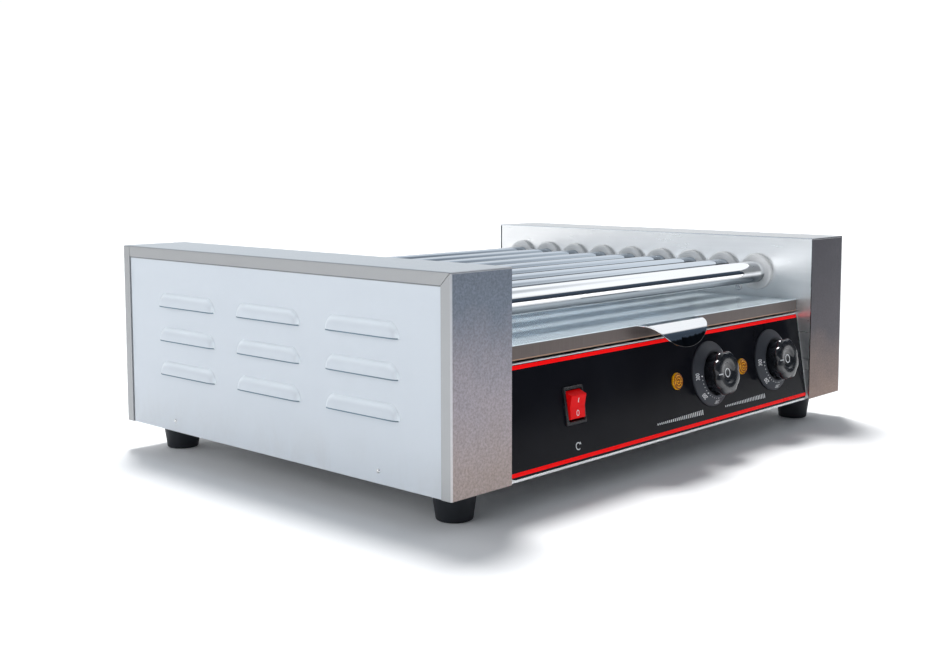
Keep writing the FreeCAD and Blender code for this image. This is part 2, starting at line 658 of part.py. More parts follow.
def belt_line(wheels):
    """Straight runs and wraps of a loop round wheels (y, z, r), all inside it.

    Each stretch is (length, function from distance to a (Y, Z) point)."""
    count = len(wheels)
    runs = []
    for i in range(count):
        ya, za, ra = wheels[i]
        yb, zb, rb = wheels[(i + 1) % count]
        length = math.hypot(yb - ya, zb - za)
        lean = math.atan2(zb - za, yb - ya) + math.acos((ra - rb) / length)
        start = (ya + ra * math.cos(lean), za + ra * math.sin(lean))
        end = (yb + rb * math.cos(lean), zb + rb * math.sin(lean))
        runs.append((start, end, lean))
    stretches = []
    for i in range(count):
        start, end, lean = runs[i]
        length = math.hypot(end[0] - start[0], end[1] - start[1])
        stretches.append((length, straight_run(start, end, length)))
        y, z, r = wheels[(i + 1) % count]
        wrap = (lean - runs[(i + 1) % count][2]) % (2 * math.pi)
        stretches.append((r * wrap, wrapped_run(y, z, r, lean)))
    return stretches


def straight_run(start, end, length):
    """Point at a distance along a straight run."""
    return lambda d: (start[0] + (end[0] - start[0]) * d / length,
                      start[1] + (end[1] - start[1]) * d / length)


def wrapped_run(y, z, r, lean):
    """Point at a distance along a wrap, turning clockwise."""
    return lambda d: (y + r * math.cos(lean - d / r), z + r * math.sin(lean - d / r))


def chain_wheels(idler_z):
    """Wheels in the chain's loop: first and last roller, drive sprocket and idler."""
    roller_r = pitch_radius(ROLLER_TEETH)
    drive_r = pitch_radius(DRIVE_TEETH)
    return [(ROLLER_YS[0], ROLLER_Z, roller_r), (ROLLER_YS[-1], ROLLER_Z, roller_r),
            (MOTOR_Y, DRIVE_Z, drive_r), (IDLER_Y, idler_z, drive_r)]


def loop_length(idler_z):
    """Length of the chain's loop for a height of the idler."""
    return sum(length for length, _ in belt_line(chain_wheels(idler_z)))


def tensioned_idler():
    """Idler height at which the loop holds a whole, even number of links."""
    link = CHAIN_PITCH * 1.002
    low = 76.0
    high = 108.0
    links = 2 * math.ceil(loop_length(high) / link / 2)
    for _ in range(40):
        middle = (low + high) / 2
        if loop_length(middle) > links * link:
            low = middle
        else:
            high = middle
    return middle, links


IDLER_Z, CHAIN_LINKS = tensioned_idler()


def chain_pins():
    """(Y, Z) of every pin, evenly spaced along the loop."""
    stretches = belt_line(chain_wheels(IDLER_Z))
    total = sum(length for length, _ in stretches)
    pins = []
    for i in range(CHAIN_LINKS):
        along = total * i / CHAIN_LINKS
        for length, point in stretches:
            if along < length:
                pins.append(point(along))
                break
            along -= length
    return pins


PINS = chain_pins()


def meshed_turn(y, z, teeth, straight):
    """Angle that puts a gap of a sprocket on the chain: under the top run or in a wrap."""
    if straight:
        near = min((p for p in PINS if p[1] > z), key=lambda p: abs(p[0] - y))
        return 90.0 - math.degrees((near[0] - y) / pitch_radius(teeth))
    reach = pitch_radius(teeth) + 0.05
    held = [p for p in PINS if math.hypot(p[0] - y, p[1] - z) < reach]
    middle = held[len(held) // 2]
    return math.degrees(math.atan2(middle[1] - z, middle[0] - y))


def placed_sprocket(y, z, teeth, straight, bore_r, hub_r, hub_len):
    """A sprocket in mesh with the chain."""
    wheel = sprocket(teeth, bore_r, hub_r, hub_len)
    wheel.rotate(Vector(0, 0, 0), Vector(1, 0, 0), meshed_turn(y, z, teeth, straight))
    wheel.translate(Vector(CHAIN_X, y, z))
    return wheel


def link_plate(x, thickness, bored):
    """Side plate of a link from pin to pin along +Y."""
    half_h = 2.5
    plate = box(x, 0, -half_h, x + thickness, CHAIN_PITCH, half_h)
    ends = [rod(x, x + thickness, y, 0, half_h) for y in (0, CHAIN_PITCH)]
    plate = plate.multiFuse(ends)
    if bored:
        plate = plate.cut(Part.makeCompound([rod(x - 1, x + 2, y, 0, 1.15) for y in (0, CHAIN_PITCH)]))
    return plate


def inner_link():
    """Two inner plates joined by the rollers."""
    plates = [link_plate(1.6, 0.7, True), link_plate(-2.3, 0.7, True)]
    tubes = [rod(-1.6, 1.6, y, 0, CHAIN_ROLLER_R).cut(rod(-2, 2, y, 0, 1.15))
             for y in (0, CHAIN_PITCH)]
    return fuse(plates[0], plates[1], *tubes)


def outer_link():
    """Two outer plates joined by the pins."""
    plates = [link_plate(2.4, 0.7, False), link_plate(-3.1, 0.7, False)]
    pins = [rod(-3.1, 3.1, y, 0, 1.0) for y in (0, CHAIN_PITCH)]
    return fuse(plates[0], plates[1], *pins)


def drive_chain():
    """Inner and outer links in turn round the loop."""
    kinds = (inner_link(), outer_link())
    links = []
    for i, (y, z) in enumerate(PINS):
        after = PINS[(i + 1) % CHAIN_LINKS]
        lean = math.degrees(math.atan2(after[1] - z, after[0] - y))
        link = kinds[i % 2].copy()
        link.Placement = Placement(Vector(CHAIN_X, y, z), Rotation(Vector(1, 0, 0), lean))
        links.append(link)
    return links


DRIVE_SHAFT_R = 4.0
GEARBOX_X = -INNER_X + 2.0
MOTOR_R = 29.0


def drive_shaft():
    """Output shaft from inside the gearbox to the drive sprocket."""
    return rod(GEARBOX_X + 20, CHAIN_X - 4, MOTOR_Y, DRIVE_Z, DRIVE_SHAFT_R)


def gearbox():
    """Round gear case with a boss round the output shaft."""
    case = rod(GEARBOX_X, GEARBOX_X + 28, MOTOR_Y, MOTOR_Z, 31.0)
    rims = [e for e in case.Edges if e.BoundBox.XMin > GEARBOX_X + 27]
    case = case.makeFillet(3.0, rims)
    boss = rod(GEARBOX_X - 6, GEARBOX_X, MOTOR_Y, DRIVE_Z, 8.0)
    bore = rod(GEARBOX_X - 7, GEARBOX_X + 22, MOTOR_Y, DRIVE_Z, DRIVE_SHAFT_R + RUNNING_FIT)
    return fuse(case, boss).cut(bore)


def gear_motor():
    """Motor can with cooling ribs and a rear boss."""
    x0 = GEARBOX_X + 28
    can = rod(x0, x0 + 58, MOTOR_Y, MOTOR_Z, MOTOR_R)
    grooves = []
    for i in range(5):
        x = x0 + 9 + 10 * i
        ring = rod(x, x + 4, MOTOR_Y, MOTOR_Z, MOTOR_R + 1).cut(
            rod(x - 1, x + 5, MOTOR_Y, MOTOR_Z, MOTOR_R - 1.5))
        grooves.append(ring)
    boss = rod(x0 + 58, x0 + 63, MOTOR_Y, MOTOR_Z, 9.0)
    return fuse(can.cut(Part.makeCompound(grooves)), boss)


def motor_bracket():
    """Plate between the gearbox and the bearing plate, with a clearance hole for the boss."""
    plate = box(-INNER_X, MOTOR_Y - 38, MOTOR_Z - 36, GEARBOX_X, MOTOR_Y + 38, MOTOR_Z + 31)
    plate = plate.makeFillet(8.0, [e for e in plate.Edges if e.BoundBox.XLength > 1])
    return plate.cut(rod(-INNER_X - 1, GEARBOX_X + 1, MOTOR_Y, DRIVE_Z, 8.0))


def tensioner_bracket():
    """Slotted plate on the bearing plate with the idler's stud."""
    face = -INNER_X - PLATE
    plate = box(face, IDLER_Y - 14, IDLER_Z - 26, face - 2.0, IDLER_Y + 14, IDLER_Z + 26)
    slots = [box(face + 1, IDLER_Y - 2.2, IDLER_Z + s * 19 - 4, face - 3, IDLER_Y + 2.2,
                 IDLER_Z + s * 19 + 4) for s in (-1, 1)]
    stud = rod(face - 2.0, CHAIN_X - 5, IDLER_Y, IDLER_Z, 4.0)
    head = rod(CHAIN_X - 5, CHAIN_X - 7, IDLER_Y, IDLER_Z, 6.0)
    return fuse(plate.cut(Part.makeCompound(slots)), stud, head)


def save_drive():
    """Rollers, elements, sprockets, chain and motor."""
    save("roller_bushings", *[bushing(s, y) for s in (-1, 1) for y in ROLLER_YS])
    save("heating_elements", *[heating_element(y) for y in ROLLER_YS])
    save("element_carrier", element_carrier())
    for i, y in enumerate(ROLLER_YS):
        wrapped = i in (0, ROLLERS - 1)
        save("roller_%d" % (i + 1), roller(y))
        save("sprocket_%d" % (i + 1), placed_sprocket(y, ROLLER_Z, ROLLER_TEETH, not wrapped,
                                                      ROLLER_R, 13.0, 4.0))
    save("drive_chain", *drive_chain())
    save("drive_sprocket", placed_sprocket(MOTOR_Y, DRIVE_Z, DRIVE_TEETH, False,
                                           DRIVE_SHAFT_R, 7.5, 4.0))
    save("idler_sprocket", placed_sprocket(IDLER_Y, IDLER_Z, DRIVE_TEETH, False,
                                           4.0 + RUNNING_FIT, 7.5, 3.0))
    save("drive_shaft", drive_shaft())
    save("gearbox", gearbox())
    save("gear_motor", gear_motor())
    save("motor_bracket", motor_bracket())
    save("tensioner_bracket", tensioner_bracket())


# ---------------------------------------------------------------- mains parts
def terminal_block():
    """Row of five terminals on the floor pan near the gland."""
    base = box(130, 150, FOOT_H + PAN, 190, 172, FOOT_H + PAN + 6)
    bodies = [box(132 + 12 * i, 153, FOOT_H + PAN + 6, 142 + 12 * i, 169, FOOT_H + PAN + 16)
              for i in range(5)]
    screws = [upright(137 + 12 * i, 161, FOOT_H + PAN + 12, FOOT_H + PAN + 18, 2.0)
              for i in range(5)]
    return fuse(base, *bodies).cut(Part.makeCompound(screws))


def cable_gland():
    """Gland through the rear panel: hexagon, threaded body, dome nut and clear bore."""
    y = HALF_D - 1.4
    points = [(GLAND_BORE, -12.0), (8.0, -12.0), (8.0, -6.5), (11.0, -6.5), (11.0, -1.0),
              (8.0, -1.0), (8.0, 0.0), (11.0, 0.0), (11.0, 5.0), (9.8, 6.0), (9.8, 10.0),
              (7.6, 14.0), (GLAND_BORE, 14.0)]
    body = revolved(points, Vector(0, 1, 0))
    hexagon = Part.Face(Part.makePolygon([
        Vector(11.6 * math.cos(math.radians(60 * i)), 0, 11.6 * math.sin(math.radians(60 * i)))
        for i in range(7)])).extrude(Vector(0, 5, 0))
    hexagon = hexagon.cut(Part.makeCylinder(GLAND_BORE, 8, Vector(0, -1, 0), Vector(0, 1, 0)))
    gland = fuse(body, hexagon)
    gland.translate(Vector(GLAND_X, y, GLAND_Z))
    return gland


save_frame()
save_controls()
save_tray()
save_drive()
save("terminal_block", terminal_block())
save("cable_gland", cable_gland())
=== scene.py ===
"""Looks of the hot dog roller grill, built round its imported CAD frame. Metres throughout."""
import bmesh
import bpy
import json
import math
from mathutils import Matrix, Vector


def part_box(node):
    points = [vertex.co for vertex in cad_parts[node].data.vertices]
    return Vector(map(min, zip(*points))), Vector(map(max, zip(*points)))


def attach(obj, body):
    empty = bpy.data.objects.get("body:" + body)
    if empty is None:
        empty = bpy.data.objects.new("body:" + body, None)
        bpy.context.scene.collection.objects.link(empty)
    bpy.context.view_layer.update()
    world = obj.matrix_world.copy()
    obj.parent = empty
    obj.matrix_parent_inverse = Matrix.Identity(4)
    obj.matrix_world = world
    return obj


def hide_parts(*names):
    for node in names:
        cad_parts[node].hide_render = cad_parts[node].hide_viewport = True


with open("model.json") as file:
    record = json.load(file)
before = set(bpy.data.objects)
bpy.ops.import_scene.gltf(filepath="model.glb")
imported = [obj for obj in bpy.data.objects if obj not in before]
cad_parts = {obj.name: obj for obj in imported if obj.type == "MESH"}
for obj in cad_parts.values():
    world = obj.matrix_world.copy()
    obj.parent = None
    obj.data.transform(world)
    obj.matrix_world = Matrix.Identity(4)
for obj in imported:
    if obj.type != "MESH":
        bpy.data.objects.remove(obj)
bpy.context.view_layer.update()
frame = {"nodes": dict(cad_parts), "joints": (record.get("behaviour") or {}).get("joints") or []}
NODES = frame["nodes"]
JOINTS = {joint["name"]: joint for joint in frame["joints"]}
MM = 0.001
SUN_PLACE = (0, 0, 2)
SUN_WAY = (-0.28, -0.38, -1.0)
FLOOR_SIZE = 24
FLOOR_DROP = 0.0002           # keeps the floor off the feet's faces


# ------------------------------------------------------------------ camera, light, floor
def aim(obj, place, direction):
    """Put an object at a place, its -Z along a direction and its top up."""
    obj.location = place
    obj.rotation_euler = Vector(direction).to_track_quat("-Z", "Y").to_euler()


def heading(azimuth, elevation):
    """View direction: azimuth 0 looks along +Y, and the elevation is above the horizon."""
    az, el = math.radians(azimuth), math.radians(elevation)
    return Vector((-math.sin(az) * math.cos(el), math.cos(az) * math.cos(el), -math.sin(el)))


def make_camera():
    data = bpy.data.cameras.new("camera")
    data.sensor_width = 36.0
    data.lens = 47.8
    data.shift_x = -0.0349
    data.shift_y = -0.0589
    data.clip_start = 0.01
    camera = bpy.data.objects.new("camera", data)
    bpy.context.scene.collection.objects.link(camera)
    aim(camera, (-0.896, -0.8042, 0.2633), heading(-47.75, 5.3))
    bpy.context.scene.camera = camera


def area_light(name, place, target, size, power, colour=(1, 1, 1)):
    data = bpy.data.lights.new(name, "AREA")
    data.shape = "RECTANGLE"
    data.size, data.size_y = size
    data.energy = power
    data.color = colour
    lamp = bpy.data.objects.new(name, data)
    bpy.context.scene.collection.objects.link(lamp)
    aim(lamp, place, Vector(target) - Vector(place))
    return lamp


def make_studio():
    """Wide soft sun from behind and above, a box light on the left and a plain pale floor.

    The room is bright to the right and behind, dim in front and to the left, and darkest low
    down in front on the right, so that the polished metal has something to mirror.
    """
    data = bpy.data.lights.new("soft_sun", "SUN")
    data.angle = math.radians(17)
    data.energy = 3.15
    sun = bpy.data.objects.new("soft_sun", data)
    bpy.context.scene.collection.objects.link(sun)
    aim(sun, SUN_PLACE, SUN_WAY)
    area_light("left_box", (-1.5, 0.1, 0.80), (-0.29, 0, 0.1), (1.0, 0.8), 3.1, (0.92, 0.96, 1.0))

    world = bpy.data.worlds.new("studio")
    bpy.context.scene.world = world
    world.use_nodes = True
    tree = world.node_tree
    tree.nodes.clear()
    graph = Graph(tree)
    way = graph.add("ShaderNodeTexCoord").outputs["Generated"]

    def toward(direction):
        return graph.add("ShaderNodeVectorMath", operation="DOT_PRODUCT",
                         inputs={0: way, 1: direction}).outputs["Value"]

    height = graph.add("ShaderNodeSeparateXYZ", inputs={0: way}).outputs["Z"]
    bright = graph.ramp(height, [(-0.1, (1.03, 1.03, 1.03, 1)), (0.76, (0.98, 1.01, 1.05, 1)),
                                 (0.86, (0.30, 0.33, 0.37, 1)), (1.0, (0.20, 0.22, 0.25, 1))],
                        low=-1.0, high=1.0)
    rear = graph.ramp(height, [(-0.1, (1.0, 1.0, 1.0, 1)), (0.35, (1.0, 1.02, 1.05, 1)),
                               (0.80, (0.22, 0.24, 0.27, 1))], low=-1.0, high=1.0)
    near = graph.ramp(height, [(-0.1, (0.13, 0.13, 0.13, 1)), (0.3, (0.11, 0.12, 0.13, 1)),
                               (1.0, (0.20, 0.22, 0.25, 1))], low=-1.0, high=1.0)
    dark = graph.ramp(height, [(-0.2, (0.10, 0.075, 0.06, 1)), (0.0, (0.020, 0.022, 0.030, 1)),
                               (0.35, (0.05, 0.07, 0.10, 1))], low=-0.3, high=0.5)
    room = graph.mix(graph.smooth(toward((-0.30, 0.95, 0.0)), -0.2, 0.5), near, rear)
    room = graph.mix(graph.smooth(toward((0.80, 0.45, 0.40)), 0.10, 0.40), room, bright)
    lobe = graph.math("MULTIPLY", graph.smooth(toward((0.72, -0.69, 0.0)), 0.45, 0.80),
                      graph.smooth(height, 0.47, 0.40))
    colour = graph.mix(lobe, room, dark)
    light = graph.add("ShaderNodeBackground", inputs={"Color": colour, "Strength": 1.0})
    out = graph.add("ShaderNodeOutputWorld")
    tree.links.new(light.outputs[0], out.inputs["Surface"])

    bpy.ops.mesh.primitive_plane_add(size=FLOOR_SIZE, location=(0, 0, -FLOOR_DROP))
    floor = bpy.context.object
    floor.name = "floor"
    paper, graph, shader = new_material("pale_floor")
    shader.inputs["Roughness"].default_value = 0.9
    shader.inputs["Specular IOR Level"].default_value = 0.1
    grain = graph.noise(3.0, detail=2.0)
    pale = graph.ramp(grain, [(0.3, (0.93, 0.93, 0.93, 1)), (0.7, (0.96, 0.96, 0.96, 1))])
    graph.connect(pale, shader.inputs["Base Color"])
    floor.data.materials.append(paper)


# ------------------------------------------------------------------ material graphs
class Graph:
    """Short names for the nodes that every material here is made of."""

    def __init__(self, tree):
        self.tree = tree
        self.place = None

    def add(self, kind, inputs=None, **settings):
        node = self.tree.nodes.new(kind)
        for key, value in settings.items():
            setattr(node, key, value)
        for key, value in (inputs or {}).items():
            self.feed(value, node.inputs[key])
        return node

    def feed(self, value, socket):
        if isinstance(value, bpy.types.NodeSocket):
            self.tree.links.new(value, socket)
        else:
            socket.default_value = value

    connect = feed

    def position(self, stretch=(1, 1, 1)):
        """Place on the object in metres, stretched along each axis."""
        coords = self.add("ShaderNodeTexCoord").outputs["Object"]
        return self.add("ShaderNodeMapping", inputs={"Vector": coords, "Scale": stretch}).outputs[0]

    def axis(self, name):
        coords = self.add("ShaderNodeTexCoord").outputs["Object"]
        return self.add("ShaderNodeSeparateXYZ", inputs={0: coords}).outputs[name]

    def noise(self, scale, stretch=(1, 1, 1), detail=4.0, rough=0.55, twist=0.0):
        return self.add("ShaderNodeTexNoise", inputs={
            "Vector": self.position(stretch), "Scale": scale, "Detail": detail,
            "Roughness": rough, "Distortion": twist}).outputs["Fac"]

    def math(self, operation, a, b=0.0, clamp=False):
        return self.add("ShaderNodeMath", operation=operation, use_clamp=clamp,
                        inputs={0: a, 1: b}).outputs[0]

    def remap(self, value, low, high, to_low, to_high):
        return self.add("ShaderNodeMapRange", inputs={
            0: value, 1: low, 2: high, 3: to_low, 4: to_high}).outputs[0]

    def smooth(self, value, low, high):
        """0 at low, 1 at high, with soft ends; low may be above high."""
        flip = low > high
        lo, hi = min(low, high), max(low, high)
        return self.add("ShaderNodeMapRange", interpolation_type="SMOOTHSTEP", inputs={
            0: value, 1: lo, 2: hi, 3: float(flip), 4: float(not flip)}).outputs[0]

    def ramp(self, value, stops, low=0.0, high=1.0):
        """Colours at values; low and high are the values at the ramp's two ends."""
        if (low, high) != (0.0, 1.0):
            value = self.remap(value, low, high, 0.0, 1.0)
        node = self.add("ShaderNodeValToRGB", inputs={0: value})
        marks = node.color_ramp.elements
        marks.remove(marks[-1])
        marks[0].position = (stops[0][0] - low) / (high - low)
        marks[0].color = stops[0][1]
        for at, colour in stops[1:]:
            marks.new((at - low) / (high - low)).color = colour
        return node.outputs[0]

    def mix(self, factor, a, b, blend="MIX"):
        node = self.add("ShaderNodeMix", data_type="RGBA", blend_type=blend)
        self.feed(factor, node.inputs[0])
        self.feed(a, node.inputs[6])
        self.feed(b, node.inputs[7])
        return node.outputs[2]

    def bump(self, height, distance, strength=1.0, under=None):
        node = self.add("ShaderNodeBump", inputs={
            "Height": height, "Distance": distance, "Strength": strength})
        if under is not None:
            self.feed(under, node.inputs["Normal"])
        return node.outputs[0]


def new_material(name):
    """A material, its graph and its Principled shader."""
    material = bpy.data.materials.new(name)
    material.use_nodes = True
    graph = Graph(material.node_tree)
    shader = next(n for n in material.node_tree.nodes if n.type == "BSDF_PRINCIPLED")
    return material, graph, shader


def rgba(colour, scale=1.0):
    return (colour[0] * scale, colour[1] * scale, colour[2] * scale, 1.0)


def steel(name, colour, rough, grain=(900, 900, 12), fine=0.10, smudge=0.06, metal=1.0):
    """Stainless sheet: fine drawn grain, cloudy smudges and a few faint scuffs."""
    material, graph, shader = new_material(name)
    shader.inputs["Metallic"].default_value = metal
    streaks = graph.noise(1.0, grain, detail=3.0, rough=0.6)
    speckle = graph.noise(1400.0, detail=1.0)
    clouds = graph.noise(14.0, detail=5.0, rough=0.6, twist=0.4)
    scuffs = graph.smooth(graph.noise(60.0, (1, 1, 0.25), detail=6.0, rough=0.7, twist=1.2),
                          0.66, 0.74)
    tone = graph.mix(streaks, rgba(colour, 1.0 - fine), rgba(colour, 1.0 + fine))
    tone = graph.mix(graph.math("MULTIPLY", speckle, fine * 1.5), tone, rgba(colour, 0.75))
    tone = graph.mix(graph.remap(clouds, 0.35, 0.7, 0.0, smudge * 3), tone,
                     rgba((colour[0] * 0.80, colour[1] * 0.82, colour[2] * 0.86)))
    graph.connect(tone, shader.inputs["Base Color"])
    gloss = graph.remap(streaks, 0.2, 0.8, rough - 0.05, rough + 0.05)
    gloss = graph.math("ADD", gloss, graph.remap(clouds, 0.3, 0.7, -smudge, smudge))
    gloss = graph.math("ADD", gloss, graph.math("MULTIPLY", scuffs, 0.01), clamp=True)
    graph.connect(gloss, shader.inputs["Roughness"])
    relief = graph.bump(streaks, 0.000012, 0.3)
    graph.connect(relief, shader.inputs["Normal"])
    return material, graph, shader, tone


def cover_steel(name, rough, top, middle, bottom):
    """Housing wrap: satin steel. Its front wall carries a painted reflection of the room that runs from one
    tone at the top to another below, with painted highlight lines at its top edge and side folds. Its top and
    outer side border are darkened as painted shade.
    """
    material, graph, shader, tone = steel(name, (0.68, 0.71, 0.74), rough, (500, 500, 60),
                                          0.03, 0.015)
    level = graph.axis("Z")
    across = graph.math("ABSOLUTE", graph.axis("X"))
    front = graph.smooth(graph.axis("Y"), -0.2088, -0.2097)
    # Painted shade: the outer side border is darkened to half.
    painted_border_shade = graph.smooth(across, 0.2893, 0.2898)
    tone = graph.mix(painted_border_shade, tone, (0.50, 0.49, 0.48, 1), "MULTIPLY")
    # Painted shade: the top face is darkened.
    tone = graph.mix(graph.smooth(level, 0.1874, 0.1879), tone, (0.39, 0.435, 0.475, 1), "MULTIPLY")
    mottle = graph.noise(520.0, detail=3.0, rough=0.7)
    blotch = graph.noise(26.0, detail=4.0, rough=0.6)
    height = graph.math("ADD", level, graph.remap(blotch, 0.3, 0.7, -0.010, 0.010))
    # Painted reflection of the room on the front wall, one tone at the top and another below.
    painted_wall_reflection = graph.ramp(height, [(0.035, rgba(bottom)), (0.095, rgba(middle)), (0.165, rgba(top))],
                      low=0.0, high=0.2)
    painted_wall_reflection = graph.mix(graph.remap(mottle, 0.35, 0.65, 0.0, 1.0), painted_wall_reflection,
                     (1.4, 1.4, 1.45, 1), "MULTIPLY")
    # Painted highlight: lighter thin lines along the front wall's top edge and side folds.
    edge = graph.math("MAXIMUM", graph.smooth(level, 0.1862, 0.1868),
                      graph.smooth(across, 0.2880, 0.2886))
    painted_wall_reflection = graph.mix(graph.math("MULTIPLY", edge, 0.6), painted_wall_reflection, (0.66, 0.67, 0.69, 1))
    graph.connect(graph.mix(front, tone, painted_wall_reflection), shader.inputs["Base Color"])
    return material


def chrome(name, colour, rough, turned=(0.0, 0.0, 0.0)):
    """Polished metal with faint polishing lines and a trace of wear."""
    material, graph, shader = new_material(name)
    shader.inputs["Metallic"].default_value = 1.0
    lines = graph.noise(1.0, turned, detail=3.0, rough=0.6) if any(turned) else graph.noise(500.0)
    wear = graph.noise(22.0, detail=6.0, rough=0.65, twist=0.5)
    tone = graph.mix(graph.remap(lines, 0.3, 0.7, 0.0, 0.5), rgba(colour, 0.96), rgba(colour, 1.03))
    graph.connect(graph.mix(graph.remap(wear, 0.45, 0.75, 0.0, 0.35), tone, rgba(colour, 0.82)),
                  shader.inputs["Base Color"])
    gloss = graph.math("ADD", graph.remap(wear, 0.35, 0.75, rough * 0.6, rough * 1.8),
                       graph.remap(lines, 0.3, 0.7, -0.01, 0.02), clamp=True)
    graph.connect(gloss, shader.inputs["Roughness"])
    graph.connect(graph.bump(lines, 0.000008, 0.25), shader.inputs["Normal"])
    return material


def roller_chrome():
    """Ground and polished tube with painted reflection and shade in its colour. The front roller is painted
    brightest and the others greyer. Painted dark lines run along each roller's rear-facing top, in the
    creases between rollers and under the front roller.
    """
    material, graph, shader, tone = steel("roller_chrome", (0.90, 0.91, 0.92), 0.035,
                                          (900, 12, 12), 0.04, 0.04)
    # Painted reflection: each roller's brightness is set by its row, brightest on the front roller.
    row = graph.ramp(graph.axis("Y"), [(-0.150, (1.1, 1.1, 1.1, 1)), (-0.128, (1.1, 1.1, 1.1, 1)),
                                       (-0.120, (0.74, 0.79, 0.84, 1)), (-0.070, (0.66, 0.72, 0.78, 1)),
                                       (0.05, (0.60, 0.66, 0.72, 1))], low=-0.2, high=0.2)
    facing = graph.add("ShaderNodeSeparateXYZ",
                       inputs={0: graph.add("ShaderNodeNewGeometry").outputs["Normal"]})
    behind = graph.smooth(graph.axis("Y"), -0.130, -0.126)
    # Painted shade: a dark line on the rear-facing side along each roller's top.
    painted_top_shade = graph.smooth(facing.outputs["Y"], -0.10, 0.02)
    # Painted shade in the creases, where the rollers behind face forward.
    painted_crease_shade = graph.math("MULTIPLY", graph.smooth(facing.outputs["Y"], -0.70, -0.75), behind)
    ahead = graph.smooth(graph.axis("Y"), -0.126, -0.130)
    # Painted shade under the front roller.
    under = graph.math("MULTIPLY", graph.smooth(facing.outputs["Z"], -0.05, -0.25),
                       graph.math("MULTIPLY", ahead, 0.70))
    tone = graph.mix(1.0, tone, row, "MULTIPLY")
    tone = graph.mix(graph.math("MULTIPLY", painted_top_shade, 0.45), tone, (0.10, 0.12, 0.14, 1))
    tone = graph.mix(graph.math("MULTIPLY", painted_crease_shade, 0.85), tone, (0.06, 0.07, 0.085, 1))
    graph.connect(graph.mix(under, tone, (0.16, 0.17, 0.185, 1)), shader.inputs["Base Color"])
    return material


def moulded(name, colour, rough, grain=0.00003, coat=0.0, scale=900.0, patch=0.08):
    """Plastic, paint or rubber: fine surface grain, slight patches of sheen and tone."""
    material, graph, shader = new_material(name)
    shader.inputs["Specular IOR Level"].default_value = 0.35
    fine = graph.noise(scale, detail=3.0)
    patches = graph.noise(35.0, detail=4.0, rough=0.6)
    tone = graph.mix(graph.remap(patches, 0.3, 0.7, 0.0, 1.0), rgba(colour, 1.0 - patch),
                     rgba(colour, 1.0 + patch))
    graph.connect(graph.mix(graph.remap(fine, 0.3, 0.7, 0.0, 0.12), tone, rgba(colour, 0.7)),
                  shader.inputs["Base Color"])
    gloss = graph.remap(patches, 0.3, 0.7, rough * 0.85, min(1.0, rough * 1.2))
    graph.connect(gloss, shader.inputs["Roughness"])
    graph.connect(graph.bump(fine, grain, 0.6), shader.inputs["Normal"])
    shader.inputs["Coat Weight"].default_value = coat
    shader.inputs["Coat Roughness"].default_value = 0.06
    return material, graph, shader


def bent_tongue():
    """Polished tongue with a painted reflection: its faces are painted dark below the bend, while the bend
    and the sheared edge keep the bright steel tone.
    """
    material, graph, shader, tone = steel("bent_tongue", (0.90, 0.91, 0.92), 0.07, (20, 500, 500),
                                          0.05, 0.05)
    streak = graph.noise(1.0, (260, 6, 6), detail=3.0, rough=0.7)
    level = graph.math("ADD", graph.axis("Z"), graph.remap(streak, 0.3, 0.7, -0.0012, 0.0012))
    level = graph.math("ADD", level, graph.math("MULTIPLY", graph.axis("X"), -0.06))
    # Painted reflection: the tongue's faces go dark below this level, while the edge stays bright.
    under = graph.smooth(level, 0.1150, 0.1138)
    facing = graph.math("ABSOLUTE", graph.add(
        "ShaderNodeSeparateXYZ", inputs={0: graph.add("ShaderNodeNewGeometry").outputs["Normal"]}
    ).outputs["Y"])
    face = graph.smooth(facing, 0.30, 0.45)
    painted_dark_reflection = graph.mix(graph.remap(streak, 0.35, 0.65, 0.0, 1.0), (0.016, 0.017, 0.020, 1),
                     (0.060, 0.058, 0.060, 1))
    graph.connect(graph.mix(graph.math("MULTIPLY", under, face), tone, painted_dark_reflection),
                  shader.inputs["Base Color"])
    return material


def glowing(made, strength):
    """Painted light: a faint red glow on a saturated pigment, so it keeps its colour in the shade."""
    material, _, shader = made
    shader.inputs["Emission Color"].default_value = (0.80, 0.004, 0.005, 1)
    shader.inputs["Emission Strength"].default_value = strength
    shader.inputs["Specular IOR Level"].default_value = 0.06
    return material


def overlay_black():
    """Printed polyester sheet: near black, glossy, with faint dust and handling marks, and a light painted
    highlight line along its top edge.
    """
    material, graph, shader = moulded("overlay_black", (0.0075, 0.008, 0.011), 0.12, 0.000006, 0.0)
    shader.inputs["Specular IOR Level"].default_value = 0.07
    dust = graph.smooth(graph.noise(900.0, detail=2.0), 0.76, 0.82)
    wipe = graph.noise(9.0, (1, 3, 0.6), detail=5.0, twist=0.8)
    base = graph.mix(graph.remap(wipe, 0.4, 0.8, 0.0, 0.35), (0.0065, 0.007, 0.010, 1),
                     (0.017, 0.019, 0.026, 1))
    base = graph.mix(graph.math("MULTIPLY", dust, 0.25), base, (0.25, 0.27, 0.30, 1))
    # Painted highlight: a light line along the overlay's top edge.
    painted_top_highlight = graph.smooth(graph.axis("Z"), 0.1112, 0.1115)
    graph.connect(graph.mix(painted_top_highlight, base, (0.80, 0.81, 0.83, 1)), shader.inputs["Base Color"])
    return material


